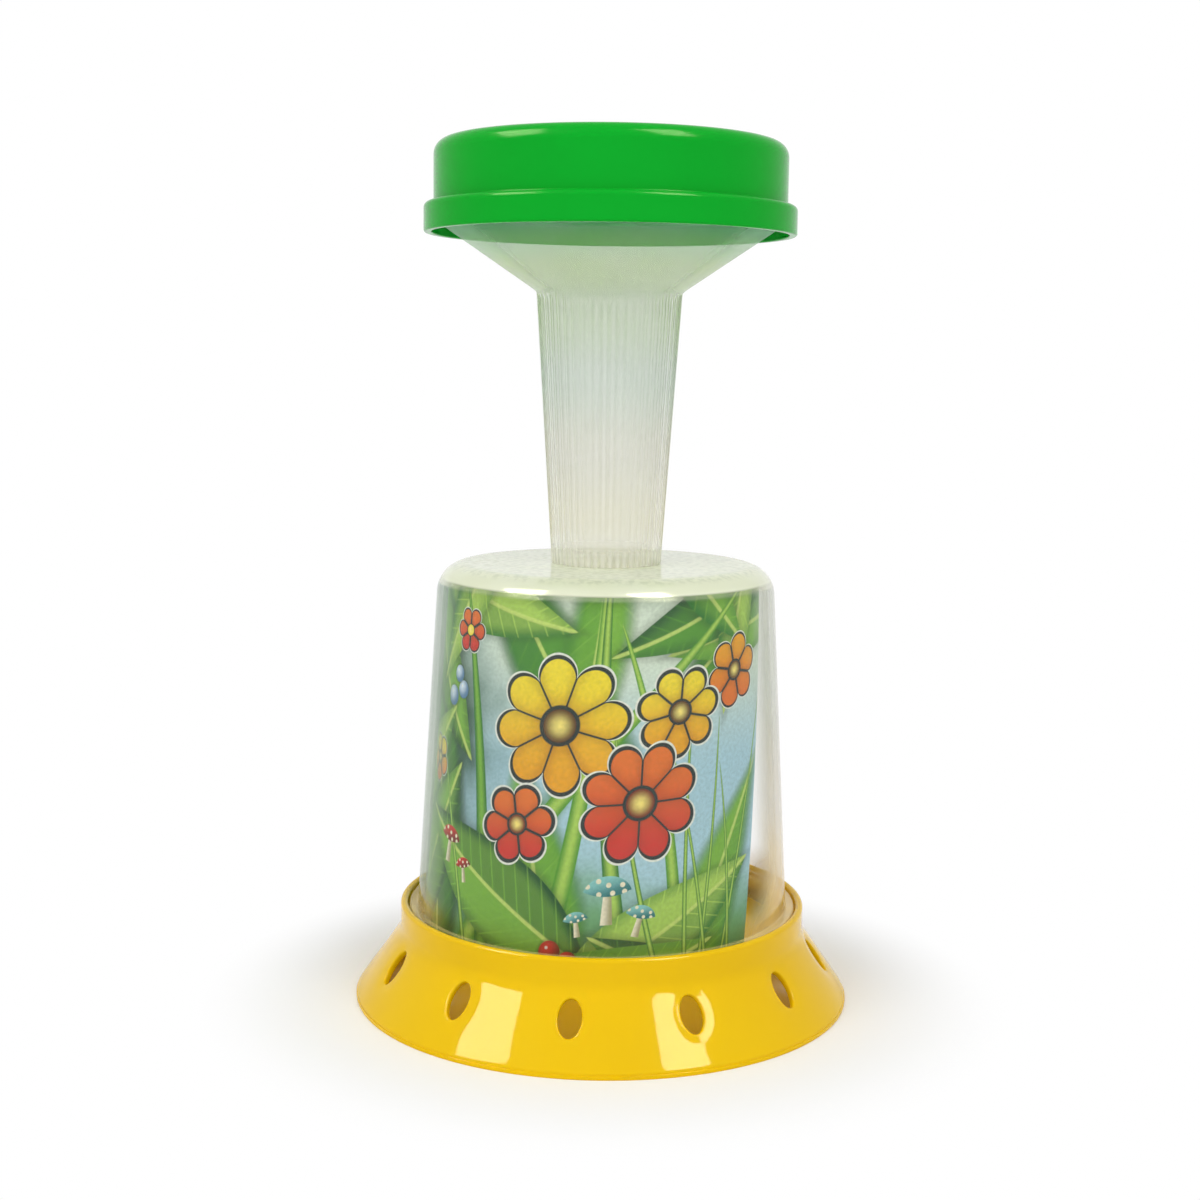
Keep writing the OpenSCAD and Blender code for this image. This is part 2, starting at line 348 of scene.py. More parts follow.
# %% [markdown]
# ## The jar
# The jar is a thin cup upside down: a slightly conical wall, a round shoulder and a flat top with the hole
# for the handle's spigot. Near its foot a flange closes the collar's mouth. Its whole section is one closed
# outline, so wall, shoulder and flange are one watertight skin, as they are in the mould. That matters for
# a see-through piece, because each skin that a ray meets adds its own veil.

# %% The jar's section
jar_draft = math.radians(3.4)
jar_foot_r = 45.4
jar_wall = 1.5
shoulder_r = 7.0
flange_drop = 0.6
flange_t = 1.6
tube_foot_r = 12.9
seat_w = 0.9
hole_r = tube_foot_r - seat_w


def jar_wall_r(z, depth=0.0):
    """The wall's radius at a height, at a depth below its outside."""
    return jar_foot_r - (z - floor_top_z) * math.tan(jar_draft) - depth / math.cos(jar_draft)


flange_top_z = base_rim_z - flange_drop
flange_foot_z = flange_top_z - flange_t
jar_outline = rounded([
    (jar_wall_r(floor_top_z, jar_wall), floor_top_z, 0.3),
    (jar_wall_r(floor_top_z), floor_top_z, 0.3),
    (jar_wall_r(flange_foot_z), flange_foot_z, 0.2),
    (lock_r, flange_foot_z, 0.4),
    (lock_r, flange_top_z, 0.6),
    (jar_wall_r(flange_top_z), flange_top_z, 0.4),
    (jar_wall_r(jar_top_z), jar_top_z, shoulder_r),
    (hole_r, jar_top_z, 0.15),
    (hole_r, jar_top_z - jar_wall, 0.15),
    (jar_wall_r(jar_top_z - jar_wall, jar_wall), jar_top_z - jar_wall, shoulder_r - jar_wall)], steps=10)
print("the jar's outline has", len(jar_outline), "points")

# %% [markdown]
# ## The handle
# Tube, throat, funnel and lip follow one another, and the inside keeps the same wall. The throat's arc sits
# between two straight lines, so the corner that it rounds is where those lines meet, a little above the
# tube's end.

# %% The handle's section
tube_top_r = 16.6
tube_len = 62.0
tube_end_z = jar_top_z + tube_len
throat_r = 3.5
funnel_slope = 34.0
handle_wall = 1.8
lip_turn_r = 0.4
spigot_gap = 0.1
bead_out = 0.5
bead_lead = 0.72

tube_spread = (tube_top_r - tube_foot_r) / (tube_end_z - jar_top_z)
tube_angle = 90 - math.degrees(math.atan(tube_spread))
throat_turn = math.radians(tube_angle - funnel_slope)


def handle_corners(depth):
    """The corner at the throat and the one under the lip, at a depth below the handle's outside."""
    reach = throat_r * math.tan(throat_turn / 2)
    inward = 180 - (180 - tube_angle - funnel_slope) / 2
    throat = Vector(along((tube_top_r, tube_end_z), tube_angle, reach))
    throat += Vector(along((0, 0), inward, depth / math.cos(throat_turn / 2)))
    lip_r = mouth_r - depth
    lip_z = throat.y + (lip_r - throat.x) * math.tan(math.radians(funnel_slope))
    return throat, (lip_r, lip_z)


def tube_r(z, depth=0.0):
    """The tube's radius at a height, at a depth below its outside."""
    lean = math.radians(90 - tube_angle)
    return tube_foot_r + (z - jar_top_z) * math.tan(lean) - depth / math.cos(lean)


throat_out, lip_out = handle_corners(0)
throat_in, lip_in = handle_corners(handle_wall)
bore_r = tube_r(jar_top_z, handle_wall)
bead_top_z = jar_top_z - jar_wall - spigot_gap
spigot_r = hole_r - spigot_gap
handle_outline = rounded([
    (tube_foot_r, jar_top_z, 0.1),
    (*throat_out, throat_r),
    (*lip_out, lip_turn_r + handle_wall),
    (mouth_r, lip_top_z, 0.2),
    (mouth_r - handle_wall, lip_top_z, 0.2),
    (*lip_in, lip_turn_r),
    (*throat_in, throat_r + handle_wall),
    (bore_r, jar_top_z, 0),
    (bore_r, spigot_foot_z, 0.2),
    (spigot_r, spigot_foot_z, 0.2),
    (spigot_r + bead_out, spigot_foot_z + bead_lead, 0.15),
    (spigot_r + bead_out, bead_top_z, 0.1),
    (spigot_r, bead_top_z, 0),
    (spigot_r, jar_top_z, 0)], steps=8)
print(f"the handle's outline has {len(handle_outline)} points, its throat is at {throat_out.y:.2f} mm")

# %% [markdown]
# The grip's fine ribs follow a rule: one wave of the angle round the axis, flattened into narrow bars, whose
# crests lie on a slightly wider cone than the tube's. Modelling 48 separate fins and joining them would
# leave inner faces that show in a see-through plastic. So a second small tree pushes the one outside skin
# out to the crests' cone wherever it lies inside that cone, and the ribs run out in the throat by themselves.

# %% The rib tree
rib_count = 48
rib_w = 0.9
rib_softness = 0.35
rib_top_out = 0.5
rib_foot_out = 0.2
rib_start = 0.1
rib_share = rib_w * rib_count / (math.tau * tube_top_r)


def make_rib_tree():
    tree, n, given, result = geometry_tree(
        "Ribs", Count=(INT, rib_count), Width_Share=(FLOAT, rib_share), Foot_Z=(FLOAT, 0.0),
        Top_Z=(FLOAT, 0.0), Foot_R=(FLOAT, 0.0), Top_R=(FLOAT, 0.0), Material=(MATERIAL, None))
    x, y, z = n.parts(n.add("GeometryNodeInputPosition").outputs[0])
    facing = n.parts(n.add("GeometryNodeInputNormal").outputs[0])
    radius = n.lengths(x, y)
    wave = n.maths("COSINE", n.times(n.maths("ARCTAN2", y, x), given["Count"]))
    edge = n.maths("COSINE", n.times(given["Width Share"], math.pi))
    bar = n.smooth(wave, n.minus(edge, rib_softness), n.plus(edge, rib_softness))
    rise = n.over(n.minus(z, given["Foot Z"]), n.minus(given["Top Z"], given["Foot Z"]))
    crest = n.plus(given["Foot R"], n.times(rise, n.minus(given["Top R"], given["Foot R"])))
    out = n.maths("MAXIMUM", n.minus(crest, radius), 0.0)
    outside = n.maths("GREATER_THAN", n.plus(n.times(x, facing[0]), n.times(y, facing[1])), 0.0)
    above = n.maths("GREATER_THAN", z, given["Foot Z"])
    push = n.over(n.times(out, bar, outside, above), radius)
    moved = n.add("GeometryNodeSetPosition", Geometry=given["Geometry"],
                  Offset=n.point(n.times(x, push), n.times(y, push), 0.0))
    finish_tree(n, moved.outputs[0], given["Material"], result)
    return tree


rib_tree = make_rib_tree()
print(f"{rib_count} ribs, one every {math.tau * tube_top_r / rib_count:.2f} mm at the top")

# %% [markdown]
# ## The cap
# The cap is a deep lid in two steps: a skirt that grips the funnel's lip, and a crown that stands a little
# further in. The crown's edge is the roundest on this piece.

# %% The cap's section
cap_wall = 1.8
ledge_w = 2.0
crown_r = mouth_r - ledge_w + cap_wall
band_top_z = lip_top_z + cap_wall
crown_edge_r = 3.4
skirt_bore_r = cap_skirt_r - cap_wall
cap_outline = rounded([
    (skirt_bore_r, cap_skirt_z, 0.3),
    (cap_skirt_r, cap_skirt_z, 0.5),
    (cap_skirt_r, band_top_z, 1.2),
    (crown_r, band_top_z, 0.3),
    (crown_r, cap_top_z, crown_edge_r),
    (0, cap_top_z, 0),
    (0, cap_top_z - cap_wall, 0),
    (crown_r - cap_wall, cap_top_z - cap_wall, crown_edge_r - cap_wall),
    (crown_r - cap_wall, lip_top_z, 0.2),
    (skirt_bore_r, lip_top_z, 0.2)], steps=8)
print("the cap's outline has", len(cap_outline), "points")

# %% [markdown]
# ## The base
# The base is a flared skirt with twelve oval windows under an upright collar. A boolean cut would leave
# long thin triangles round each window, and those ruin a glossy reflection. So the skirt is made as one
# 30 degree sector whose faces run in rings round the window, with a soft edge and the faint dip that
# moulded holes have, and Geometry Nodes repeat the sector round the axis.

# %% The base's outline, and a point on it
base_wall = 1.8
lock_gap = 0.3
collar_h = 5.3
collar_r = lock_r + lock_gap + base_wall
collar_foot_z = base_rim_z - collar_h
hollow_r = 5.0
foot_round_r = 1.0
foot_band_z = 1.1
foot_lip_z = 0.9
foot_lip_out = 0.25
floor_t = 1.8
vent_count = 12
vent_w = 5.4
vent_l = 8.9
vent_z = 11.2
vent_phase = -7.5

skirt_r = base_foot_r - foot_lip_out
flare_run = (skirt_r - foot_round_r) - (collar_r + hollow_r)
flare_rise = collar_foot_z - foot_band_z
flare = math.atan2(flare_run, flare_rise)
flare += math.asin((hollow_r + foot_round_r) / math.hypot(flare_run, flare_rise))
uphill = Vector((-math.sin(flare), math.cos(flare)))
outward = Vector((math.cos(flare), math.sin(flare)))
foot_arc_end = Vector((skirt_r - foot_round_r, foot_band_z)) + foot_round_r * outward
hollow_start = Vector((collar_r + hollow_r, collar_foot_z)) - hollow_r * outward
vent_centre = foot_arc_end + uphill * ((vent_z - foot_arc_end.y) / uphill.y)
reach_up = (hollow_start - vent_centre).length
reach_down = (vent_centre - foot_arc_end).length


def skirt_point(up, depth=0.0):
    """(radius, height) on the skirt's outside, this far up the slope from a vent's centre."""
    if up <= reach_up:
        return vent_centre + uphill * up - outward * depth
    turned = (up - reach_up) / hollow_r
    away = Vector((-math.cos(flare - turned), -math.sin(flare - turned)))
    return Vector((collar_r + hollow_r, collar_foot_z)) + away * (hollow_r + depth)


patch_top = reach_up + hollow_r * flare
print(f"the skirt flares by {math.degrees(flare):.1f} degrees, its windows are {vent_centre.y:.1f} mm up")

# %% Points on the inside, and round a window
sector = math.tau / vent_count
sector_steps = 24
side_steps = 16
collar_in_r = collar_r - base_wall
foot_in_r = skirt_r - base_wall
inner_centre = vent_centre - outward * base_wall
inner_up = (inner_centre.x - collar_in_r) / math.sin(flare)
inner_down = (foot_in_r - inner_centre.x) / math.sin(flare)


def inner_point(up):
    """The same on the skirt's inside."""
    return inner_centre + uphill * up


def in_space(angle, section):
    """The 3-D point at an angle from the middle of the sector, with the sector's middle on +X."""
    return (section.x * math.cos(angle) * MM, section.x * math.sin(angle) * MM, section.y * MM)


def frame_of_patch(low, high):
    """The sector's border as (share of the half sector, distance up the slope), anticlockwise."""
    across = [2 * i / sector_steps - 1 for i in range(sector_steps)]
    upward = [low + (high - low) * i / side_steps for i in range(side_steps)]
    return ([(x, low) for x in across] + [(1, y) for y in upward]
            + [(-x, high) for x in across] + [(-1, low + high - y) for y in upward])


def oval(x, y, grown):
    """The point of the window's edge, grown by some mm, in the direction of (x, y)."""
    a, b = vent_w / 2 + grown, vent_l / 2 + grown
    scale = 1 / math.hypot(x / a, y / b)
    return x * scale, y * scale


def patch_ring(border, share, grown, depth_of, point_of):
    """One ring between the window's edge, at share 0, and the sector's border, at share 1."""
    ring = []
    for side, up in border:
        far = side * sector / 2
        x, y = oval(far * vent_centre.x, up, grown)
        near = math.asin(x / point_of(y).x)
        angle = near + (far - near) * share
        height = y + (up - y) * share
        away = math.hypot((angle - near) * vent_centre.x, height - y)
        section = point_of(height)
        ring.append(in_space(angle, section - outward * depth_of(away, share)))
    return ring


print("a sector's border has", len(frame_of_patch(-reach_down, patch_top)), "points")


# %% Rings of faces round a window
edge_round = 0.45
dip = 0.22
dip_reach = 2.0
ring_count = 16
ring_growth = 1.22
every_inner_ring = 4
bend_steps = 5


def join_rings(mesh, rings, closed):
    """Adds the faces between rows of points."""
    rows = [[mesh.verts.new(p) for p in ring] for ring in rings]
    for first, second in zip(rows, rows[1:]):
        count = len(first)
        for i in range(count if closed else count - 1):
            j = (i + 1) % count
            mesh.faces.new((first[i], first[j], second[j], second[i]))


def dip_depth(away, share):
    """How deep the skirt dips at a distance from the window's edge: not at all at the sector's border."""
    return dip * math.exp(-(away / dip_reach) ** 2) * (1 - share) ** 2


def steps_up_to(end, count):
    """Equal steps from 0 to the end, without the 0."""
    return [end * k / count for k in range(1, count + 1)]


def arc(centre, radius, angles):
    """The points of a circle at these angles above the horizontal."""
    return [centre + radius * Vector((math.cos(a), math.sin(a))) for a in angles]


def rings_round_window():
    """Rings from the sector's border over the window's soft edge and through the wall to the inside."""
    outer = frame_of_patch(-reach_down, patch_top)
    inner = frame_of_patch(-inner_down, inner_up)
    growth = [(ring_growth ** k - 1) / (ring_growth ** ring_count - 1) for k in range(ring_count + 1)]
    bend = steps_up_to(math.pi / 2, bend_steps)
    rings = [patch_ring(outer, t, edge_round, dip_depth, skirt_point) for t in reversed(growth)]
    for a in bend:
        depth = dip + edge_round * (1 - math.cos(a))
        rings.append(patch_ring(outer, 0, edge_round * (1 - math.sin(a)), lambda *_: depth, skirt_point))
    for a in bend:
        lift = edge_round * (1 - math.sin(a))
        rings.append(patch_ring(inner, 0, edge_round * (1 - math.cos(a)), lambda *_: -lift, inner_point))
    inside = growth[every_inner_ring::every_inner_ring]
    return rings + [patch_ring(inner, t, edge_round, lambda *_: 0, inner_point) for t in inside]


print("a window has", len(rings_round_window()), "rings of points round it")

# %% One sector of the skirt, with collar and foot
rim_steps = 12
rim_margin = 0.2


def make_sector():
    mesh = bmesh.new()
    join_rings(mesh, rings_round_window(), True)
    rim_r = base_wall / 2
    rim_centre = Vector((collar_r - rim_r, base_rim_z - rim_r))
    rim_start_z = rim_centre.y - rim_margin
    rim = [Vector((collar_r, collar_foot_z)), Vector((collar_r, rim_start_z)),
           *arc(rim_centre, rim_r, [0, *steps_up_to(math.pi, rim_steps)]),
           Vector((collar_in_r, rim_start_z)), Vector((collar_in_r, inner_point(inner_up).y))]
    foot = rounded([(foot_in_r, inner_point(-inner_down).y, 0), (foot_in_r, 0, 0.2), (base_foot_r, 0, 0.2),
                    (base_foot_r, foot_lip_z, 0.1), (skirt_r, foot_lip_z, 0.06), (skirt_r, foot_band_z, 0)],
                   steps=4, margin=0.04)
    foot += arc(Vector((skirt_r - foot_round_r, foot_band_z)), foot_round_r, steps_up_to(flare, bend_steps))
    angles = [sector * (i / sector_steps - 0.5) for i in range(sector_steps + 1)]
    for strip in (rim, foot):
        join_rings(mesh, [[in_space(a, p) for a in angles] for p in strip], False)
    return object_from_bmesh("sector", mesh)


sector_piece = make_sector()
print("a sector has", len(sector_piece.data.polygons), "faces")


# %% The tree that repeats a shape round the axis
def make_ring_tree():
    tree, n, given, result = geometry_tree("Repeat round the axis", Count=(INT, vent_count),
                                           Phase=(FLOAT, 0.0), Material=(MATERIAL, None))
    spots = n.add("GeometryNodePoints", Count=given["Count"])
    step = n.over(math.tau, given["Count"])
    turn = n.plus(n.times(n.add("GeometryNodeInputIndex").outputs[0], step), given["Phase"])
    copies = n.add("GeometryNodeInstanceOnPoints", Points=spots.outputs[0], Instance=given["Geometry"],
                   Rotation=n.point(0.0, 0.0, turn))
    real = n.add("GeometryNodeRealizeInstances", Geometry=copies.outputs[0])
    closed = n.add("GeometryNodeMergeByDistance", Geometry=real.outputs[0], Distance=seam_gap)
    finish_tree(n, closed.outputs[0], given["Material"], result)
    return tree


ring_tree = make_ring_tree()
front = -math.pi / 2


def repeat_round(source, name, count, material, phase=0.0):
    return run_tree(source, ring_tree, name, Count=count, Phase=phase, Material=material)


print("the ring tree has", len(ring_tree.nodes), "nodes")

# %% [markdown]
# The floor is a disc with small air holes: one in the middle and rings of 6, 12 and 18 round it. It is flat,
# so a boolean's thin triangles do no harm there. The tree takes the holes' centres as points, stands a
# cylinder on each and subtracts them all from the disc in one step.

# %% The floor with its air holes
hole_steps = 24
drill_share = 2.0
air_hole_d = 2.4
air_ring_step = 9.0
air_ring_count = 3
first_ring_holes = 6
floor_middle_z = floor_top_z - floor_t / 2
hole_spots = [(0, 0, floor_middle_z * MM)]
for ring in range(1, air_ring_count + 1):
    count = first_ring_holes * ring
    for i in range(count):
        angle = math.tau * i / count
        hole_spots.append((ring * air_ring_step * math.cos(angle) * MM,
                           ring * air_ring_step * math.sin(angle) * MM, floor_middle_z * MM))


def make_floor_tree():
    tree, n, given, result = geometry_tree(
        "Pierced floor", Floor_R=(FLOAT, 0.0), Thickness=(FLOAT, 0.0), Middle_Z=(FLOAT, 0.0),
        Hole_R=(FLOAT, 0.0), Material=(MATERIAL, None))
    disc = n.add("GeometryNodeMeshCylinder", Vertices=sector_steps * vent_count, Radius=given["Floor R"],
                 Depth=given["Thickness"])
    raised = n.add("GeometryNodeTransform", Geometry=disc.outputs["Mesh"],
                   Translation=n.point(0.0, 0.0, given["Middle Z"]))
    drill = n.add("GeometryNodeMeshCylinder", Vertices=hole_steps, Radius=given["Hole R"],
                  Depth=n.times(given["Thickness"], drill_share))
    drills = n.add("GeometryNodeInstanceOnPoints", Points=given["Geometry"], Instance=drill.outputs["Mesh"])
    real = n.add("GeometryNodeRealizeInstances", Geometry=drills.outputs[0])
    cut = n.add("GeometryNodeMeshBoolean", {"operation": "DIFFERENCE", "solver": "EXACT"})
    n.put(cut.inputs["Mesh 1"], raised.outputs[0])
    n.put(cut.inputs["Mesh 2"], real.outputs[0])
    finish_tree(n, cut.outputs["Mesh"], given["Material"], result, crease_angle)
    return tree


def make_floor(material):
    return run_tree(object_from_points("hole_spots", hole_spots), make_floor_tree(), "floor",
                    Floor_R=(collar_in_r + base_wall / 2) * MM, Thickness=floor_t * MM,
                    Middle_Z=floor_middle_z * MM, Hole_R=air_hole_d / 2 * MM, Material=material)


print(len(hole_spots), "air holes in the floor")

# %% [markdown]
# The twist lock hides between jar and collar: lugs on the jar's foot turn under keepers inside the collar,
# up to their stops. All are short arcs of a ring with a rectangular section, so one function makes them, and
# the tree above repeats them.

# %% Lugs and keepers
lug_count = 4
lug_h = 1.7
lug_arc = math.radians(30)
gap_arc = lock_gap / lock_r
stop_arc = base_wall / lock_r
keeper_arc = stop_arc + lug_arc + 2 * gap_arc
keeper_z = floor_top_z + lug_h + lock_gap


def ring_block(r_in, r_out, z, height, arc, start=0.0, steps=24):
    """A block along part of a ring, closed at both ends."""
    mesh = bmesh.new()
    top = z + height
    section = rounded([(r_in, z, 0), (r_out, z, 0.2), (r_out, top, 0.2), (r_in, top, 0)],
                      steps=3, margin=0.05)
    rings = [[in_space(start + arc * k / steps, p) for p in section] for k in range(steps + 1)]
    join_rings(mesh, rings, True)
    mesh.verts.ensure_lookup_table()
    count = len(section)
    mesh.faces.new(mesh.verts[:count])
    mesh.faces.new(reversed(mesh.verts[-count:]))
    bmesh.ops.recalc_face_normals(mesh, faces=mesh.faces)
    return object_from_bmesh("block", mesh)


def joined(name, pieces):
    """Puts several closed meshes into one object."""
    whole, *others = pieces
    mesh = bmesh.new()
    for piece in pieces:
        mesh.from_mesh(piece.data)
    mesh.to_mesh(whole.data)
    mesh.free()
    for piece in others:
        bpy.data.objects.remove(piece)
    whole.name = name
    whole.data.name = name
    return whole


print(f"a lug spans {math.degrees(lug_arc):.0f} degrees, a keeper {math.degrees(keeper_arc):.1f}")

# %% [markdown]
# ## The printed sheet
# A sheet of thin card stands just inside the jar's wall and goes two thirds of the way round. It is a strip
# of a cone, so it needs few faces along its height and many along its arc, and its side edges lean as those
# of an oblong sheet do when it is rolled into a cone. The print is drawn on a UV map: U runs along the arc
# from left to right and V from foot to top. An attribute tells the printed outside from the plain inside.

# %% The sheet's strip of cone
sheet_arc = math.radians(240)
sheet_right_edge = math.radians(60)
sheet_lean = math.radians(11.5)
sheet_t = 0.4
sheet_gap = 0.3
sheet_steps = 192
sheet_rows = 6
shoulder_z = jar_top_z - shoulder_r
shoulder_in_r = shoulder_r - jar_wall
sheet_foot_r = jar_wall_r(floor_top_z, jar_wall) - sheet_gap
sheet_top_r = jar_wall_r(shoulder_z, shoulder_r) - sheet_gap
sheet_top_r += math.sqrt(shoulder_in_r ** 2 - (sheet_top_z - shoulder_z) ** 2)


def sheet_place(u, v, depth):
    """The point at a share u of the arc and v of the height, this deep below the printed side."""
    r = sheet_foot_r + (sheet_top_r - sheet_foot_r) * v
    height = sheet_top_z - floor_top_z
    side = sheet_arc / 2 + math.asin((v - 0.5) * height * math.tan(sheet_lean) / r)
    angle = front + sheet_right_edge - sheet_arc / 2 + (2 * u - 1) * side
    return in_space(angle, Vector((r - depth, floor_top_z + height * v)))


def make_sheet(material):
    mesh = bmesh.new()
    uv = mesh.loops.layers.uv.new("Print")
    printed = mesh.faces.layers.float.new("printed_side")
    shares = [(i / sheet_steps, j / sheet_rows)
              for i in range(sheet_steps + 1) for j in range(sheet_rows + 1)]
    sides = [[mesh.verts.new(sheet_place(u, v, depth)) for u, v in shares] for depth in (0, sheet_t)]
    share_of = {vert: share for side in sides for vert, share in zip(side, shares)}

    def at(side, i, j):
        return sides[side][i * (sheet_rows + 1) + j]

    for side in (0, 1):
        for i in range(sheet_steps):
            for j in range(sheet_rows):
                corners = ((i, j), (i + 1, j), (i + 1, j + 1), (i, j + 1))
                face = mesh.faces.new([at(side, *corner) for corner in corners])
                face[printed] = 1 - side
    for j in (0, sheet_rows):
        for i in range(sheet_steps):
            mesh.faces.new((at(0, i, j), at(0, i + 1, j), at(1, i + 1, j), at(1, i, j)))
    for i in (0, sheet_steps):
        for j in range(sheet_rows):
            mesh.faces.new((at(0, i, j), at(0, i, j + 1), at(1, i, j + 1), at(1, i, j)))
    for face in mesh.faces:
        face.smooth = True
        for loop in face.loops:
            loop[uv].uv = share_of[loop.vert]
    bmesh.ops.recalc_face_normals(mesh, faces=mesh.faces)
    for edge in mesh.edges:
        edge.smooth = edge.calc_face_angle(0) < crease_angle
    made = object_from_bmesh("printed_sheet", mesh)
    made.data.materials.append(material)
    return made


print_width = sheet_arc * (sheet_foot_r + sheet_top_r) / 2
print_height = math.hypot(sheet_foot_r - sheet_top_r, sheet_top_z - floor_top_z)
print(f"the print is about {print_width:.0f} x {print_height:.0f} mm")

# %% [markdown]
# ## Plastics
# Each plastic is one Principled BSDF. The cap and the base are opaque and glossy. Jar and handle are milky:
# what lies behind stays sharp but paler, so their veil is a low alpha and not frosted glass, which would
# blur it. The veil's colour and faint unevenness come from the object's own coordinates.

# %% Colours are written as they look, and turned into light
def colour(red, green, blue):
    """A colour of 0 to 255 as it looks, as linear values for a socket, by the sRGB rule."""
    shares = (red / 255, green / 255, blue / 255)
    linear = [c / 12.92 if c <= 0.04 else ((c + 0.055) / 1.055) ** 2.4 for c in shares]
    return (*linear, 1.0)


white = (1.0, 1.0, 1.0, 1.0)
print("middle grey as light:", [round(c, 3) for c in colour(128, 128, 128)])


# %% Helpers for materials
def new_material(name):
    material = bpy.data.materials.new(name)
    material.use_nodes = True
    material.node_tree.nodes.clear()
    return material, Nodes(material.node_tree)


def surface(n, shader):
    n.add("ShaderNodeOutputMaterial", Surface=shader.outputs[0])


def object_place(n):
    return n.add("ShaderNodeTexCoord").outputs["Object"]


def cloudiness(n, size):
    """Soft noise of 0 to 1 with features of this size in mm."""
    return n.add("ShaderNodeTexNoise", Vector=object_place(n), Scale=1000 / size, Detail=2.0).outputs["Fac"]


def plastic(n, tone, roughness, shine, waves, alpha=1.0):
    """A glossy plastic. Waves are the size and height, in mm, of the faint unevenness that mouldings have."""
    size, height = waves
    ripple = n.add("ShaderNodeBump", Height=cloudiness(n, size), Distance=height * MM, Strength=1.0)
    surface(n, n.add("ShaderNodeBsdfPrincipled", Base_Color=tone, Roughness=roughness, IOR=1.5, Alpha=alpha,
                     Normal=ripple.outputs[0], Specular_IOR_Level=shine))


# %% The opaque plastics
def opaque_plastic(name, look, deep, roughness, shine, waves):
    """A plastic whose colour drifts a little between two looks."""
    material, n = new_material(name)
    plastic(n, n.shade(cloudiness(n, 30.0), look, deep), roughness, shine, waves)
    return material


base_plastic = opaque_plastic("yellow_plastic", colour(242, 199, 6), colour(236, 190, 4),
                              roughness=0.05, shine=0.11, waves=(9.0, 0.02))
cap_plastic = opaque_plastic("green_plastic", colour(9, 172, 42), colour(7, 162, 38),
                             roughness=0.16, shine=0.062, waves=(12.0, 0.02))


# %% Helpers for the milky plastics
def by_height(n, height, looks):
    """The colour goes smoothly from look to look. Each is a height in mm and a colour."""
    (low, tone), *others = looks
    for z, look in others:
        tone = n.shade(n.smooth(height, low * MM, z * MM), tone, look)
        low = z
    return tone


def slant_of(n):
    """0 where the surface is seen square on, 1 where it is seen along its side."""
    return n.add("ShaderNodeLayerWeight", Blend=0.5).outputs["Facing"]


def milky_plastic(n, tone, share, roughness, shine, waves):
    """A plastic that veils what lies behind it by this share, with faint whiter clouds in it."""
    clouds = n.smooth(cloudiness(n, 14.0), 0.35, 0.65, 0.0, 0.12)
    plastic(n, n.shade(clouds, tone, white), roughness, shine, waves, share)


# %% The handle's plastic
# Painted light in these looks: the near-white at the tube's foot lifts the shade that falls there, and the
# green to teal under the cap stands in for the cap's green light on the funnel.
handle_looks_with_painted_light = ((107.0, colour(255, 254, 244)), (115.0, colour(238, 234, 202)),
                (132.0, colour(222, 222, 200)), (150.0, colour(200, 218, 196)),
                (165.0, colour(202, 226, 172)), (175.0, colour(194, 224, 132)),
                (180.0, colour(164, 222, 148)), (184.0, colour(132, 212, 158)))
tube_veil, funnel_extra_veil = 0.21, 0.055
outer_edge_veil, funnel_extra_edge_veil = 0.38, 0.1
outer_edge_slant, funnel_extra_slant, slant_w = 0.35, 0.2, 0.2
inner_edge_veil, inner_edge_slant = 0.08, 0.5
rib_veil = 0.045
foot_veil, foot_veil_h = 0.32, 5.0
funnel_spread = 1 / math.tan(math.radians(funnel_slope))
throat_mid, lip_mid = handle_corners(handle_wall / 2)


def is_outer_skin(n, radius, height):
    """1 on the handle's outside and 0 on its inside: on which side of the wall's middle a point lies."""
    above_throat = n.minus(height, throat_mid.y * MM)
    tube, funnel = (n.plus(throat_mid.x * MM, n.times(above_throat, spread))
                    for spread in (tube_spread, funnel_spread))
    middle = n.maths("MINIMUM", n.maths("MAXIMUM", tube, funnel), lip_mid[0] * MM)
    return n.maths("GREATER_THAN", radius, middle)


def make_handle_plastic():
    """Milky all over, and milkier at the tube's foot and in the ribs.

    Along its sides a ray meets only the outer skin and not the inner. So there the outer skin veils more and
    the inner less, and the tone stays even.
    """
    material, n = new_material("milky_handle_plastic")
    x, y, height = n.parts(object_place(n))
    wave = n.maths("COSINE", n.times(n.maths("ARCTAN2", y, x), rib_count))
    grip = n.times(n.smooth(height, jar_top_z * MM, (jar_top_z + 1) * MM),
                   n.smooth(height, (tube_end_z - 1) * MM, tube_end_z * MM, 1.0, 0.0))
    strength = n.smooth(height, jar_top_z * MM, (jar_top_z + tube_end_z) / 2 * MM, rib_veil / 3, rib_veil)
    ribs = n.times(n.smooth(wave, -0.5, 0.3), grip, strength)
    foot = n.smooth(height, jar_top_z * MM, (jar_top_z + foot_veil_h) * MM, foot_veil, 0.0)
    in_funnel = n.smooth(height, (tube_end_z - 1) * MM, (tube_end_z + 3) * MM)
    veil = n.plus(tube_veil, n.times(in_funnel, funnel_extra_veil))
    edge_veil = n.plus(outer_edge_veil, n.times(in_funnel, funnel_extra_edge_veil))
    edge_slant = n.plus(outer_edge_slant, n.times(in_funnel, funnel_extra_slant))
    slant = slant_of(n)
    inner = n.smooth(slant, inner_edge_slant, 1.0, veil, inner_edge_veil)
    outer = n.smooth(slant, edge_slant, n.plus(edge_slant, slant_w), veil, edge_veil)
    side = is_outer_skin(n, n.lengths(x, y), height)
    skin = n.plus(inner, n.times(side, n.minus(outer, inner)))
    milky_plastic(n, by_height(n, height, handle_looks_with_painted_light), n.plus(skin, ribs, foot),
                  roughness=0.32, shine=0.25, waves=(6.0, 0.01))
    return material
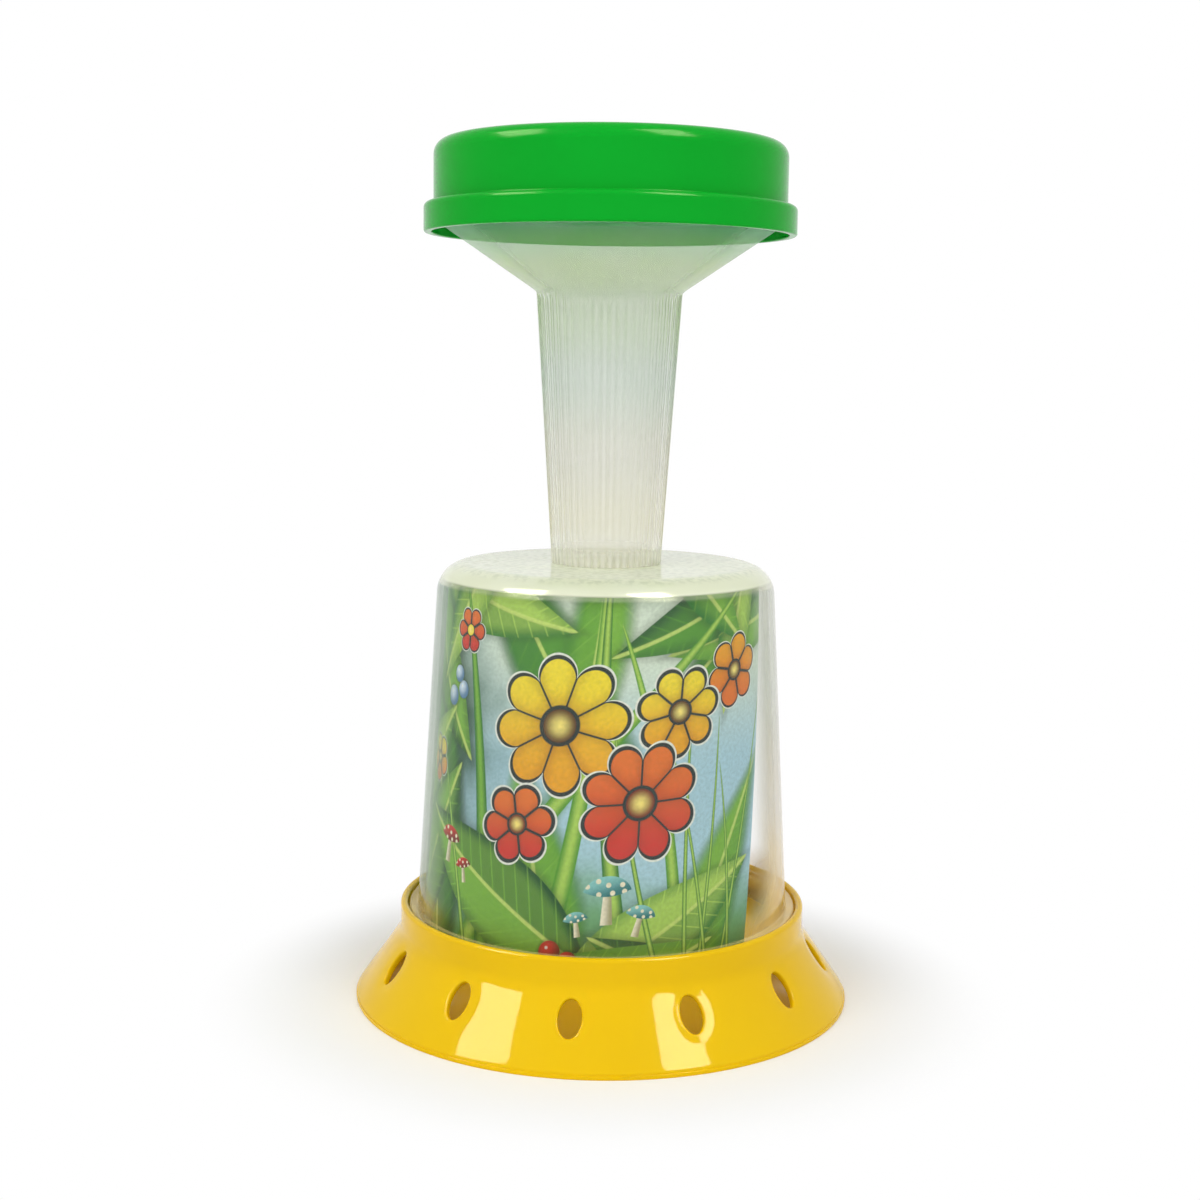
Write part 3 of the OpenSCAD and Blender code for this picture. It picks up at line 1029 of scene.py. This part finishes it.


# %% The jar's plastic
# Painted light: the yellow and orange near the jar's foot stand in for the yellow base's glow through the
# wall.
jar_looks_with_painted_glow = ((20.0, colour(248, 222, 148)), (28.0, colour(252, 216, 122)), (35.0, colour(244, 224, 172)),
             (52.0, colour(220, 214, 190)), (80.0, colour(198, 206, 184)))
# The print's colour is painted onto the wall. It stands in for the print seen through the wall's edge.
painted_print_look = colour(110, 150, 112)
frost_shade, frost_look = colour(214, 220, 190), colour(236, 240, 210)
jar_veil_front, jar_veil_edge = 0.025, 0.6
jar_slant_start, jar_slant_end = 0.46, 0.86
foot_shift, painted_foot_glow_h = 0.2, 10.0
painted_print_share, painted_print_start_h = 0.9, 6.0
border_w = 0.1
frost_share = 0.8
gloss_share, gloss_band_h = 0.13, 1.4
crackle_size = 1.6


def make_jar_plastic():
    """Clear in front, milky along its sides and frosted on top, with a painted print colour and a painted
    base glow.
    """
    material, n = new_material("milky_jar_plastic")
    x, y, height = n.parts(object_place(n))
    bare = sheet_right_edge + (math.tau - sheet_arc) / 2
    towards_bare = n.plus(n.times(x, math.cos(front + bare)), n.times(y, math.sin(front + bare)))
    share_bare = n.over(towards_bare, n.lengths(x, y))
    side = math.cos((math.tau - sheet_arc) / 2)
    # Near the foot, on the side without the print, the veil grows so that the painted base glow shows.
    foot = n.times(n.smooth(height, base_rim_z * MM, (base_rim_z + painted_foot_glow_h) * MM, foot_shift, 0.0),
                   n.smooth(share_bare, side - 3 * border_w, side - border_w))
    # Painted print colour on the wall along the sheet's arc, fading out near the foot.
    painted_print_mask = n.times(n.smooth(share_bare, side - border_w, side + border_w, painted_print_share, 0.0),
                     n.smooth(height, (base_rim_z - 1) * MM, (base_rim_z + painted_print_start_h) * MM))
    tone = n.shade(painted_print_mask, by_height(n, height, jar_looks_with_painted_glow), painted_print_look)
    veil = n.smooth(slant_of(n), n.minus(jar_slant_start, foot), n.minus(jar_slant_end, foot),
                    jar_veil_front, jar_veil_edge)
    frost = n.smooth(height, (sheet_top_z - 0.2) * MM, (sheet_top_z + 0.6) * MM, 0.0, frost_share)
    gloss = n.smooth(height, (sheet_top_z - gloss_band_h) * MM, (sheet_top_z - 0.4) * MM,
                     0.0, gloss_share)
    flat = n.smooth(height, (jar_top_z - 1.5) * MM, (jar_top_z - 0.2) * MM)
    crackle = n.times(flat, n.smooth(cloudiness(n, crackle_size), 0.42, 0.62))
    tone = n.shade(n.smooth(gloss, 0.0, gloss_share), tone, n.shade(crackle, frost_look, frost_shade))
    share = n.plus(veil, n.times(n.maths("MAXIMUM", frost, gloss), n.minus(1.0, veil)))
    milky_plastic(n, tone, share, roughness=0.12, shine=0.5, waves=(8.0, 0.03))
    return material


handle_plastic, jar_plastic = make_handle_plastic(), make_jar_plastic()
print("plastics:", [m.name for m in (base_plastic, cap_plastic, jar_plastic, handle_plastic)])

# %% [markdown]
# ## The print on the sheet
# A printed meadow could be an image, but a drawing made of nodes stays sharp at any size and needs no file.
# It works like layers of cut paper: each motif is a small node group that takes the picture so far and lays
# one leaf, blade, flower, toadstool or berry over it. Inside a group, a motif is a distance in mm: how far a
# point lies inside the motif's edge. Comparing that distance with 0 gives a mask with a soft or crisp edge.
#
# The renderer keeps only a few hundred half-finished values. It would work out every motif's mask before the
# first is used, and run out of room. So each group also hands the place on, with an immeasurable trace of
# its colour in it: the next motif then has to wait for the one before.

# %% A motif is a group with named sockets
trace = 1e-7
place_sockets = {"Under": COLOR, "X": FLOAT, "Y": FLOAT, "At_X": FLOAT, "At_Y": FLOAT, "Turn": FLOAT}


def motif(name, paint, **sockets):
    """A shader group that paints a motif over the colour Under, and hands on the place for the next."""
    tree = bpy.data.node_groups.new(name, "ShaderNodeTree")
    for label, kind in {**place_sockets, **sockets}.items():
        tree.interface.new_socket(label.replace("_", " "), in_out="INPUT", socket_type=kind)
    for label, kind in {"Color": COLOR, "X": FLOAT, "Y": FLOAT}.items():
        tree.interface.new_socket(label, in_out="OUTPUT", socket_type=kind)
    n = Nodes(tree)
    given, out = n.add("NodeGroupInput").outputs, n.add("NodeGroupOutput").inputs
    picture = paint(n, given)
    n.put(out["Color"], picture)
    for axis in ("X", "Y"):
        n.put(out[axis], n.plus(given[axis], n.times(picture, trace)))
    print(f"the motif {name} has {len(tree.nodes)} nodes")
    return tree


def local_axes(n, given):
    """Where a point lies along and across the motif's own direction, in mm from the motif's place."""
    x = n.minus(given["X"], given["At X"])
    y = n.minus(given["Y"], given["At Y"])
    cosine = n.maths("COSINE", given["Turn"])
    sine = n.maths("SINE", given["Turn"])
    return (n.plus(n.times(x, cosine), n.times(y, sine)), n.minus(n.times(y, cosine), n.times(x, sine)))


def bent(n, given):
    """The share of the motif's length, and the distance along and across it once its bend is taken out."""
    along, across = local_axes(n, given)
    t = n.over(along, given["Length"])
    return t, along, n.minus(across, n.times(given["Bend"], along, t))


shadow_look, ink = colour(12, 42, 18), colour(34, 36, 46)


# %% Leaves and blades of grass
def paint_leaf(n, given):
    """A leaf with a midrib, side veins, one darker half and a soft shadow under it."""
    t, along, across = bent(n, given)
    side = n.maths("ABSOLUTE", across)
    taper = n.maths("MAXIMUM", n.minus(1.25, n.times(t, 0.5)), 0.5)
    half = n.times(given["Width"], 2.0, t, n.minus(1.0, t), taper)
    inside = n.minus(half, side)
    mask = n.smooth(inside, n.times(given["Blur"], -1.0), given["Blur"])
    stripe = n.maths("ABSOLUTE", n.maths("SINE", n.times(n.minus(along, n.times(side, 0.9)), 0.75)))
    vein = n.smooth(stripe, 0.0, 0.28, 0.45, 0.0)
    half_tone = n.smooth(across, -0.1, 0.1, 0.0, 0.45)
    rise = n.smooth(inside, 0.0, 3.5, -0.1, 0.4)
    tone = n.shade(n.plus(vein, half_tone, rise, n.times(t, 0.2)), given["Dark"], given["Light"])
    rib = n.smooth(side, 0.2, 0.7, 0.85, 0.0)
    veined = n.shade(rib, tone, colour(206, 226, 120))
    shadow = n.smooth(inside, -2.5, 0.5, 0.0, 0.38)
    shaded = n.shade(shadow, given["Under"], shadow_look)
    return n.shade(mask, shaded, veined)


def paint_blade(n, given):
    """A blade of grass: it tapers to its tip and has a light middle."""
    t, _, across = bent(n, given)
    half = n.times(given["Width"], 0.5, n.maths("SQRT", n.maths("MAXIMUM", n.minus(1.0, t), 0.0)))
    side = n.maths("ABSOLUTE", across)
    mask = n.times(n.smooth(n.minus(half, side), -0.12, 0.12), n.maths("GREATER_THAN", t, 0.0),
                   n.maths("LESS_THAN", t, 1.0))
    tone = n.shade(n.smooth(side, 0.0, half, 1.0, 0.0), given["Dark"], given["Light"])
    return n.shade(mask, given["Under"], tone)


leaf = motif("Leaf", paint_leaf, Length=FLOAT, Width=FLOAT, Bend=FLOAT, Blur=FLOAT, Dark=COLOR, Light=COLOR)
blade = motif("Blade", paint_blade, Length=FLOAT, Width=FLOAT, Bend=FLOAT, Dark=COLOR, Light=COLOR)


# %% Flowers
def paint_flower(n, given):
    """A flower head with a dark outline and a white edge. Its colour goes from its foot to its top."""
    x, y = local_axes(n, given)
    radius = n.lengths(x, y)
    share = n.over(radius, given["Radius"])
    wave = n.maths("ABSOLUTE", n.maths("COSINE", n.times(n.maths("ARCTAN2", y, x), given["Petals"], 0.5)))
    edge = n.times(given["Radius"], n.plus(0.66, n.times(n.maths("POWER", wave, 0.6), 0.34)))
    inside = n.minus(edge, radius)
    height = n.minus(given["Y"], given["At Y"])
    blend = n.smooth(n.over(height, given["Radius"]), -0.9, 0.9)
    petal = n.shade(blend, given["Foot"], given["Top"])
    petal = n.shade(n.smooth(wave, 0.25, 0.95, 0.22, 0.0), petal, colour(120, 30, 20))
    petal = n.shade(n.smooth(share, 0.25, 0.6, 0.35, 0.0), petal, colour(150, 40, 10))
    seam = n.times(n.smooth(n.times(wave, radius), 0.6, 1.3, 1.0, 0.0), n.maths("GREATER_THAN", share, 0.2))
    petal = n.shade(seam, petal, ink)
    white_edge = n.smooth(inside, n.times(given["Line"], -1.7), n.times(given["Line"], -1.5))
    dark_edge = n.smooth(inside, n.times(given["Line"], -1.15), n.times(given["Line"], -0.95))
    picture = n.shade(white_edge, given["Under"], colour(236, 238, 226))
    picture = n.shade(dark_edge, picture, ink)
    picture = n.shade(n.smooth(inside, -0.12, 0.12), picture, petal)
    picture = n.shade(n.smooth(share, 0.3, 0.32, 1.0, 0.0), picture, ink)
    heart = n.shade(n.smooth(share, 0.0, 0.26), colour(255, 236, 130), given["Heart"])
    return n.shade(n.smooth(share, 0.24, 0.26, 1.0, 0.0), picture, heart)


flower = motif("Flower", paint_flower, Radius=FLOAT, Petals=FLOAT, Line=FLOAT, Foot=COLOR, Top=COLOR,
               Heart=COLOR)


# %% Berries and toadstools
def paint_berry(n, given):
    """A round berry or pebble with a rim of shade and a highlight. Stretch makes it oval."""
    x, y = local_axes(n, given)
    radius = n.lengths(n.over(x, given["Stretch"]), y)
    share = n.over(radius, given["Radius"])
    spot = n.over(n.lengths(n.plus(n.over(x, given["Stretch"]), n.times(given["Radius"], 0.3)),
                            n.minus(y, n.times(given["Radius"], 0.35))), given["Radius"])
    ball = n.shade(n.smooth(spot, 0.15, 1.25), given["Light"], given["Dark"])
    ball = n.shade(n.smooth(spot, 0.08, 0.2, 0.8, 0.0), ball, colour(250, 250, 240))
    shadow = n.smooth(share, 1.0, 1.35, 0.4, 0.0)
    shaded = n.shade(shadow, given["Under"], shadow_look)
    return n.shade(n.smooth(share, 0.96, 1.02, 1.0, 0.0), shaded, ball)


def paint_toadstool(n, given):
    """A toadstool: a stem, a domed hat with a curved foot, and pale spots on it. Size is the hat's width."""
    x, y = local_axes(n, given)
    u = n.over(x, given["Size"])
    v = n.over(y, given["Size"])
    bulge = n.minus(0.09, n.times(v, 0.07))
    stem = n.times(n.smooth(n.maths("ABSOLUTE", u), n.minus(bulge, 0.012), bulge, 1.0, 0.0),
                   n.maths("GREATER_THAN", v, -0.55), n.maths("LESS_THAN", v, 0.1))
    picture = n.shade(stem, given["Under"], n.shade(n.smooth(u, -0.09, 0.09), colour(244, 236, 208),
                                                    colour(170, 160, 120)))
    dome = n.lengths(n.times(u, 2.0), n.times(n.minus(v, 0.02), 2.5))
    foot = n.minus(v, n.times(u, u, 0.5))
    hat = n.times(n.smooth(dome, 0.97, 1.0, 1.0, 0.0), n.smooth(foot, 0.0, 0.015))
    tone = n.shade(n.smooth(n.plus(v, n.times(u, -0.3)), 0.0, 0.42), given["Dark"], given["Light"])
    cells = n.add("ShaderNodeTexVoronoi", {"voronoi_dimensions": "2D"}, Vector=n.point(u, v, 0.0), Scale=4.6,
                  Randomness=0.55)
    tone = n.shade(n.smooth(cells.outputs["Distance"], 0.2, 0.27, 1.0, 0.0), tone, given["Spots"])
    return n.shade(hat, picture, tone)


berry = motif("Berry", paint_berry, Radius=FLOAT, Stretch=FLOAT, Dark=COLOR, Light=COLOR)
toadstool = motif("Toadstool", paint_toadstool, Size=FLOAT, Dark=COLOR, Light=COLOR, Spots=COLOR)

# %% [markdown]
# The picture itself is a list, from back to front. A place is in mm on the flat print, from its lower left
# corner, and the front of the jar shows what lies 127 mm from there. Broad soft leaves come first, then
# crisp ones, grass and small things, and on top the flowers, whose colours run from yellow through orange
# to red.

# %% The list of motifs
deep_green, mid_green = colour(20, 76, 34), colour(44, 118, 40)
leaf_green, fresh_green, lime = colour(84, 152, 44), colour(128, 184, 62), colour(176, 212, 92)
sky, mist = colour(176, 212, 224), colour(228, 238, 212)


def at(kind, x, y, turn, **values):
    return kind, dict(At_X=x, At_Y=y, Turn=math.radians(turn), **values)


def leaf_at(x, y, turn, length, width, bend, dark, light, blur=0.15):
    return at(leaf, x, y, turn, Length=length, Width=width, Bend=bend, Blur=blur, Dark=dark, Light=light)


def blade_at(x, y, turn, length, width, bend, dark=mid_green, light=lime):
    return at(blade, x, y, turn, Length=length, Width=width, Bend=bend, Dark=dark, Light=light)


def flower_at(x, y, radius, petals, turn, foot, top, heart, line=0.9):
    return at(flower, x, y, turn, Radius=radius, Petals=petals, Line=line, Foot=foot, Top=top, Heart=heart)


def berry_at(x, y, radius, dark, light):
    return at(berry, x, y, 0.0, Radius=radius, Stretch=1.0, Dark=dark, Light=light)


def toadstool_at(x, y, size, dark, light, spots, turn):
    return at(toadstool, x, y, turn, Size=size, Dark=dark, Light=light, Spots=spots)


yellow, amber = colour(250, 226, 50), colour(242, 168, 30)
orange, red = colour(236, 118, 44), colour(214, 44, 44)
brown, dark_red, cream = colour(92, 44, 20), colour(120, 20, 22), colour(240, 232, 200)
teal_dark, teal_light = colour(44, 118, 122), colour(140, 204, 200)
blue_dark, blue_light = colour(90, 130, 170), colour(214, 232, 244)
motifs = [
    # soft leaves far behind
    leaf_at(8, -6, 86, 90, 28, 0.1, deep_green, mid_green, 2.5),
    leaf_at(34, -10, 98, 82, 24, -0.1, deep_green, leaf_green, 2.5),
    leaf_at(22, 104, -82, 72, 15, 0.15, mid_green, fresh_green, 2.2),
    leaf_at(54, -6, 84, 92, 30, 0.1, deep_green, mid_green, 2.5),
    leaf_at(84, -10, 100, 84, 24, -0.1, deep_green, leaf_green, 2.5),
    leaf_at(96, 100, -66, 78, 17, 0.2, mid_green, leaf_green, 2.2),
    leaf_at(122, 104, -84, 70, 13, -0.2, leaf_green, fresh_green, 2.2),
    leaf_at(176, 104, -122, 56, 13, -0.15, mid_green, leaf_green, 2.2),
    leaf_at(150, -14, 84, 62, 16, -0.2, leaf_green, fresh_green, 2.5),
    leaf_at(120, -16, 96, 66, 20, 0.1, leaf_green, fresh_green, 2.2),
    # leaves that hang in from the top and the sides
    leaf_at(-8, 98, -32, 52, 16, 0.12, mid_green, lime),
    leaf_at(54, 100, -142, 50, 15, 0.1, deep_green, leaf_green),
    leaf_at(46, 66, 30, 56, 17, -0.1, deep_green, leaf_green),
    leaf_at(66, 94, -24, 54, 17, 0.12, mid_green, lime),
    leaf_at(60, 92, -60, 56, 18, 0.1, deep_green, fresh_green),
    leaf_at(100, 100, -128, 44, 12, 0.1, mid_green, lime),
    leaf_at(182, 80, -176, 44, 13, 0.1, mid_green, fresh_green),
    leaf_at(176, 98, -146, 56, 15, -0.12, deep_green, leaf_green),
    leaf_at(162, 100, -106, 42, 12, 0.12, mid_green, lime),
    leaf_at(136, 98, -50, 34, 10, 0.1, mid_green, fresh_green),
    # arching blades
    blade_at(14, -4, 76, 94, 4.6, 0.14, leaf_green, lime),
    blade_at(42, -4, 104, 90, 4.0, -0.12, mid_green, fresh_green),
    blade_at(90, -4, 62, 116, 5.4, -0.16, leaf_green, lime),
    blade_at(101, -4, 92, 92, 4.6, 0.12, mid_green, fresh_green),
    blade_at(116, -4, 78, 96, 5.0, 0.14, leaf_green, lime),
    blade_at(138, -4, 106, 100, 4.4, -0.14, mid_green, lime),
    blade_at(150, -4, 96, 86, 3.6, 0.16, leaf_green, lime),
    # broad leaves along the foot
    leaf_at(-6, 8, 44, 54, 18, 0.1, mid_green, lime),
    leaf_at(44, -4, 134, 56, 19, 0.1, deep_green, fresh_green),
    leaf_at(0, -8, 18, 58, 17, 0.1, deep_green, fresh_green),
    leaf_at(50, 22, 40, 50, 16, 0.1, mid_green, lime),
    leaf_at(58, -4, 52, 58, 20, 0.1, deep_green, fresh_green),
    leaf_at(128, 2, 146, 62, 21, 0.08, deep_green, fresh_green),
    leaf_at(120, -8, 40, 58, 19, -0.1, mid_green, lime),
    leaf_at(168, -12, 146, 46, 13, 0.1, deep_green, leaf_green),
    leaf_at(98, -8, 8, 62, 17, 0.12, mid_green, fresh_green),
    # grass
    blade_at(146, -2, 112, 66, 1.5, -0.1),
    blade_at(152, -2, 98, 72, 1.3, -0.05),
    blade_at(155, -2, 88, 60, 1.2, 0.05),
    blade_at(158, -2, 102, 56, 1.2, 0.08),
    blade_at(161, -2, 84, 66, 1.1, -0.04),
    blade_at(164, -2, 94, 50, 1.2, 0.1),
    blade_at(96, -2, 104, 60, 1.6, 0.08),
    blade_at(70, -2, 96, 64, 1.6, -0.08),
    # small things in the grass
    toadstool_at(131, 19, 11.5, teal_dark, teal_light, cream, 4),
    toadstool_at(139, 14, 7.5, teal_dark, teal_light, cream, -10),
    toadstool_at(124.5, 13, 6.0, teal_dark, teal_light, cream, 12),
    berry_at(119, 6, 2.6, dark_red, red),
    berry_at(123.4, 4, 2.4, dark_red, red),
    berry_at(120.6, 2, 2.2, dark_red, red),
    toadstool_at(30, 20, 9.5, dark_red, red, cream, 6),
    toadstool_at(37, 14, 6.5, dark_red, red, cream, -8),
    toadstool_at(86, 26, 9.0, dark_red, red, cream, -6),
    toadstool_at(92.5, 21, 6.0, dark_red, red, cream, 12),
    berry_at(83, 60, 2.4, blue_dark, blue_light),
    berry_at(87.6, 62, 2.1, blue_dark, blue_light),
    berry_at(85.4, 65.4, 2.0, blue_dark, blue_light),
    flower_at(158, 68, 8.0, 6, 20, orange, amber, brown, 0.5),
    flower_at(89, 76, 5.0, 6, 0, red, orange, yellow, 0.4),
    flower_at(76, 44, 5.5, 5, 50, orange, yellow, brown, 0.4),
    # the big flowers
    flower_at(22, 56, 11.0, 7, 10, red, orange, dark_red),
    flower_at(44, 38, 8.0, 6, 24, amber, yellow, brown),
    flower_at(143, 60, 9.5, 7, 14, amber, yellow, brown),
    flower_at(116, 57, 15.0, 8, 8, amber, yellow, brown),
    flower_at(136, 40, 13.0, 8, 26, red, orange, dark_red),
    flower_at(108, 34, 8.5, 6, 12, red, orange, dark_red),
]
print(len(motifs), "motifs in the print")


# %% Lay the motifs over the background
def draw_print(n, x, y):
    """The picture's colour at a place of the flat print, in mm."""
    drift = n.add("ShaderNodeTexNoise", Vector=n.point(x, y, 0.0), Scale=0.06, Detail=2.0).outputs["Fac"]
    right = n.smooth(n.plus(x, n.times(drift, 40.0)), 96.0, 132.0)
    picture = n.shade(right, deep_green, sky)
    picture = n.shade(n.smooth(n.plus(y, n.times(drift, 30.0)), 20.0, 46.0, 0.85, 0.0), picture, leaf_green)
    picture = n.shade(n.times(right, n.smooth(y, 46.0, 74.0, 0.0, 0.85)), picture, mist)
    for tree, values in motifs:
        node = n.add("ShaderNodeGroup", {"node_tree": tree}, Under=picture, X=x, Y=y, **values)
        picture, x, y = (node.outputs[name] for name in ("Color", "X", "Y"))
    grain = n.add("ShaderNodeTexNoise", Vector=n.point(x, y, 0.0), Scale=1.2, Detail=3.0).outputs["Fac"]
    return n.shade(n.smooth(grain, 0.3, 0.7, 0.0, 0.16), picture, deep_green)


# %% The printed sheet's material
def printed_card():
    material, n = new_material("printed_card")
    place = n.parts(n.add("ShaderNodeUVMap", {"uv_map": "Print"}).outputs[0])
    x = n.times(place["X"], print_width)
    y = n.times(place["Y"], print_height)
    picture = draw_print(n, x, y)
    side = n.add("ShaderNodeAttribute", {"attribute_name": "printed_side"}).outputs["Fac"]
    look = n.shade(side, colour(246, 243, 228), picture)
    surface(n, n.add("ShaderNodeBsdfPrincipled", Base_Color=look, Roughness=0.45, IOR=1.45))
    return material


card = printed_card()
print("the print's material has", len(card.node_tree.nodes), "nodes")

# %% [markdown]
# ## The pieces
# Now each outline becomes a mesh, takes its material and is tied to the frame: it rides a body and replaces
# the solid that it dresses.

# %% Jar, handle and cap
lug_start = keeper_arc + gap_arc
steps_per_rib = 12
bowl = revolve("bowl", jar_outline, jar_plastic)
lug = ring_block(jar_foot_r - jar_wall / 2, lock_r, floor_top_z, lug_h, lug_arc, lug_start)
lugs = repeat_round(lug, "lugs", lug_count, jar_plastic)
jar_cup = report(joined("jar_cup", [bowl, lugs]))
tube_and_funnel = revolve("tube_and_funnel", handle_outline, handle_plastic, steps_per_rib * rib_count)
funnel_handle = report(run_tree(
    tube_and_funnel, rib_tree, "funnel_handle", Count=rib_count, Width_Share=rib_share,
    Foot_Z=(jar_top_z + rib_start) * MM, Top_Z=tube_end_z * MM, Foot_R=(tube_foot_r + rib_foot_out) * MM,
    Top_R=(tube_top_r + rib_top_out) * MM, Material=handle_plastic))
push_on_cap = report(revolve("push_on_cap", cap_outline, cap_plastic))

# %% Base and sheet
skirt = repeat_round(sector_piece, "skirt", vent_count, base_plastic, front + math.radians(vent_phase))
floor = make_floor(base_plastic)
keeper_in_r = jar_foot_r + lock_gap
in_collar_r = collar_in_r + base_wall / 2
keeper = ring_block(keeper_in_r, in_collar_r, keeper_z, lug_h, keeper_arc)
keepers = repeat_round(keeper, "keepers", lug_count, base_plastic)
stop_h = keeper_z + lug_h / 2 - floor_top_z + floor_t / 2
stop = ring_block(keeper_in_r, in_collar_r, floor_middle_z, stop_h, stop_arc, steps=4)
stops = repeat_round(stop, "stops", lug_count, base_plastic)
vented_base = report(joined("vented_base", [skirt, floor, keepers, stops]))
printed_sheet = report(make_sheet(card))

# %% Tie the pieces to the frame
for piece, node, body, finish in (
        (vented_base, "base", "base", "base_plastic"),
        (printed_sheet, "insert_sheet", "sheet", "printed_paper"),
        (jar_cup, "jar", "jar", "jar_plastic"),
        (funnel_handle, "handle", "jar", "handle_plastic"),
        (push_on_cap, "cap", "cap", "cap_plastic")):
    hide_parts(node)
    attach(piece, body)
    print(piece.name, "stands for", node)

# %% [markdown]
# ## Floor, light and camera
# The photograph is a product shot on white with two window-like lights, whose reflections lie on the base,
# the jar's shoulder and the cap. Two rectangular lamps light the scene and can't be seen in gloss. Two more
# show only in gloss, where the photograph has its highlights. An even pale world fills the shadows. Camera,
# mirror and see-through rays meet plain white instead, so that the background is white and the milky
# plastic shows it. Away from the toy the floor does the same for those rays.

# %% The world
def seen_directly(n):
    """1 for rays that show the background itself: from the camera, off gloss or through clear plastic."""
    path = n.add("ShaderNodeLightPath").outputs
    both = n.maths("MAXIMUM", path["Is Camera Ray"], path["Is Glossy Ray"])
    return n.maths("MAXIMUM", both, path["Is Transmission Ray"])


world = bpy.data.worlds.new("studio")
bpy.context.scene.world = world
world.use_nodes = True
world.node_tree.nodes.clear()
n = Nodes(world.node_tree)
ambient = 0.56
level = n.maths("MAXIMUM", seen_directly(n), ambient)
studio = n.add("ShaderNodeBackground", Color=white, Strength=level)
n.add("ShaderNodeOutputWorld", Surface=studio.outputs[0])
print("the world shines at", ambient, "of white")

# %% The floor
table_half = 3.0
fade_start, fade_end = 0.06, 0.1
paper_white = (0.96, 0.96, 0.96, 1.0)
table_corners = [(-table_half, -table_half, 0), (table_half, -table_half, 0),
                 (table_half, table_half, 0), (-table_half, table_half, 0)]
table = object_from_points("table", table_corners, [(0, 1, 2, 3)])
paper, n = new_material("white_paper")
x, y, _ = n.parts(object_place(n))
fade = n.smooth(n.lengths(x, y), fade_start, fade_end)
lit = n.add("ShaderNodeBsdfDiffuse", Color=paper_white)
glow = n.add("ShaderNodeEmission", Color=white, Strength=1.0)
blend = n.add("ShaderNodeMixShader", Fac=n.times(fade, seen_directly(n)))
n.put(blend.inputs[1], lit.outputs[0])
n.put(blend.inputs[2], glow.outputs[0])
surface(n, blend)
table.data.materials.append(paper)
print("the floor fades to plain white between", fade_start, "and", fade_end, "m")

# %% The lamps
aim = Vector((0.0, 0.0, 0.1))
lamp_distance = 0.9
lamp_radiance = 3.7
plain_tint, window_tint = (1.0, 1.0, 1.0), (1.0, 1.0, 0.66)


def area_lamp(name, shape, width, energy, tint):
    """A lamp with a flat face. Its energy is in watts."""
    data = bpy.data.lights.new(name, "AREA")
    data.shape = shape
    data.size = width
    data.energy = energy
    data.color = tint
    made = put_in_scene(name, data)
    return made


def window(name, azimuth_deg, height_deg, width, height, radiance, mirrored, roll_deg=0.0):
    """A rectangular lamp that faces the jar, either to light or to be mirrored.

    The azimuth is counted from the front, to the left.
    """
    azimuth, tilt = math.radians(azimuth_deg), math.radians(height_deg)
    level = math.cos(tilt)
    away = Vector((-math.sin(azimuth) * level, -math.cos(azimuth) * level, math.sin(tilt)))
    roll = Matrix.Rotation(math.radians(roll_deg), 3, "Z")
    made = area_lamp(name, "RECTANGLE", width, radiance * math.pi * width * height,
                     window_tint if mirrored else plain_tint)
    made.data.size_y = height
    made.location = aim + away * lamp_distance
    made.rotation_euler = (away.to_track_quat("Z", "Y").to_matrix() @ roll).to_euler()
    made.visible_diffuse = not mirrored
    made.visible_glossy = mirrored


window("left_lamp", 46.0, 43.0, 0.42, 0.5, lamp_radiance, mirrored=False)
window("right_lamp", -38.0, 47.0, 0.4, 0.5, lamp_radiance, mirrored=False)
window("left_reflection", 69.0, 43.0, 0.37, 0.54, 28.0, mirrored=True, roll_deg=35.0)
window("right_reflection", -44.2, 48.5, 0.31, 0.56, 32.0, mirrored=True)
print("lamps:", [light.name for light in bpy.data.lights])

# %% [markdown]
# On the real toy daylight seeps through the yellow floor. A weak yellow disc just under it stands in for
# that, so that the windows don't look into the dark. Only the light that it casts can be seen.

# %% Light under the base
glow_d = 84.0
glow_gap = 0.3
glow_radiance = 0.28
glow_tint = (1.0, 0.68, 0.01)
glow_energy = glow_radiance * math.pi * math.pi * (glow_d * MM / 2) ** 2
floor_glow = area_lamp("floor_glow", "DISK", glow_d * MM, glow_energy, glow_tint)
floor_glow.location = (0.0, 0.0, (floor_top_z - floor_t - glow_gap) * MM)
floor_glow.visible_camera = False
floor_glow.visible_glossy = False
print("the glow is", round(glow_energy, 4), "W")

# %% [markdown]
# The camera was fitted to the outline of the base in the photograph. It stands nearly in front of the toy,
# at three quarters of its height, looks down a little and is rolled by less than a degree.

# %% The camera
lens = 54.78
look_down_deg = 7.51
roll_deg = 0.72
camera_place = (-1.354, -436.56, 154.18)
camera_data = bpy.data.cameras.new("camera")
camera_data.lens = lens
camera_data.sensor_width = 36.0
camera_data.clip_start = 0.01
camera = put_in_scene("camera", camera_data)
pitch = Matrix.Rotation(math.radians(90 - look_down_deg), 3, "X")
roll = Matrix.Rotation(math.radians(roll_deg), 3, "Z")
camera.location = [v * MM for v in camera_place]
camera.rotation_euler = (pitch @ roll).to_euler()
bpy.context.scene.camera = camera
bpy.context.scene.view_settings.view_transform = "Standard"
print("the camera looks down by", look_down_deg, "degrees")

# %% The end
bpy.context.view_layer.update()
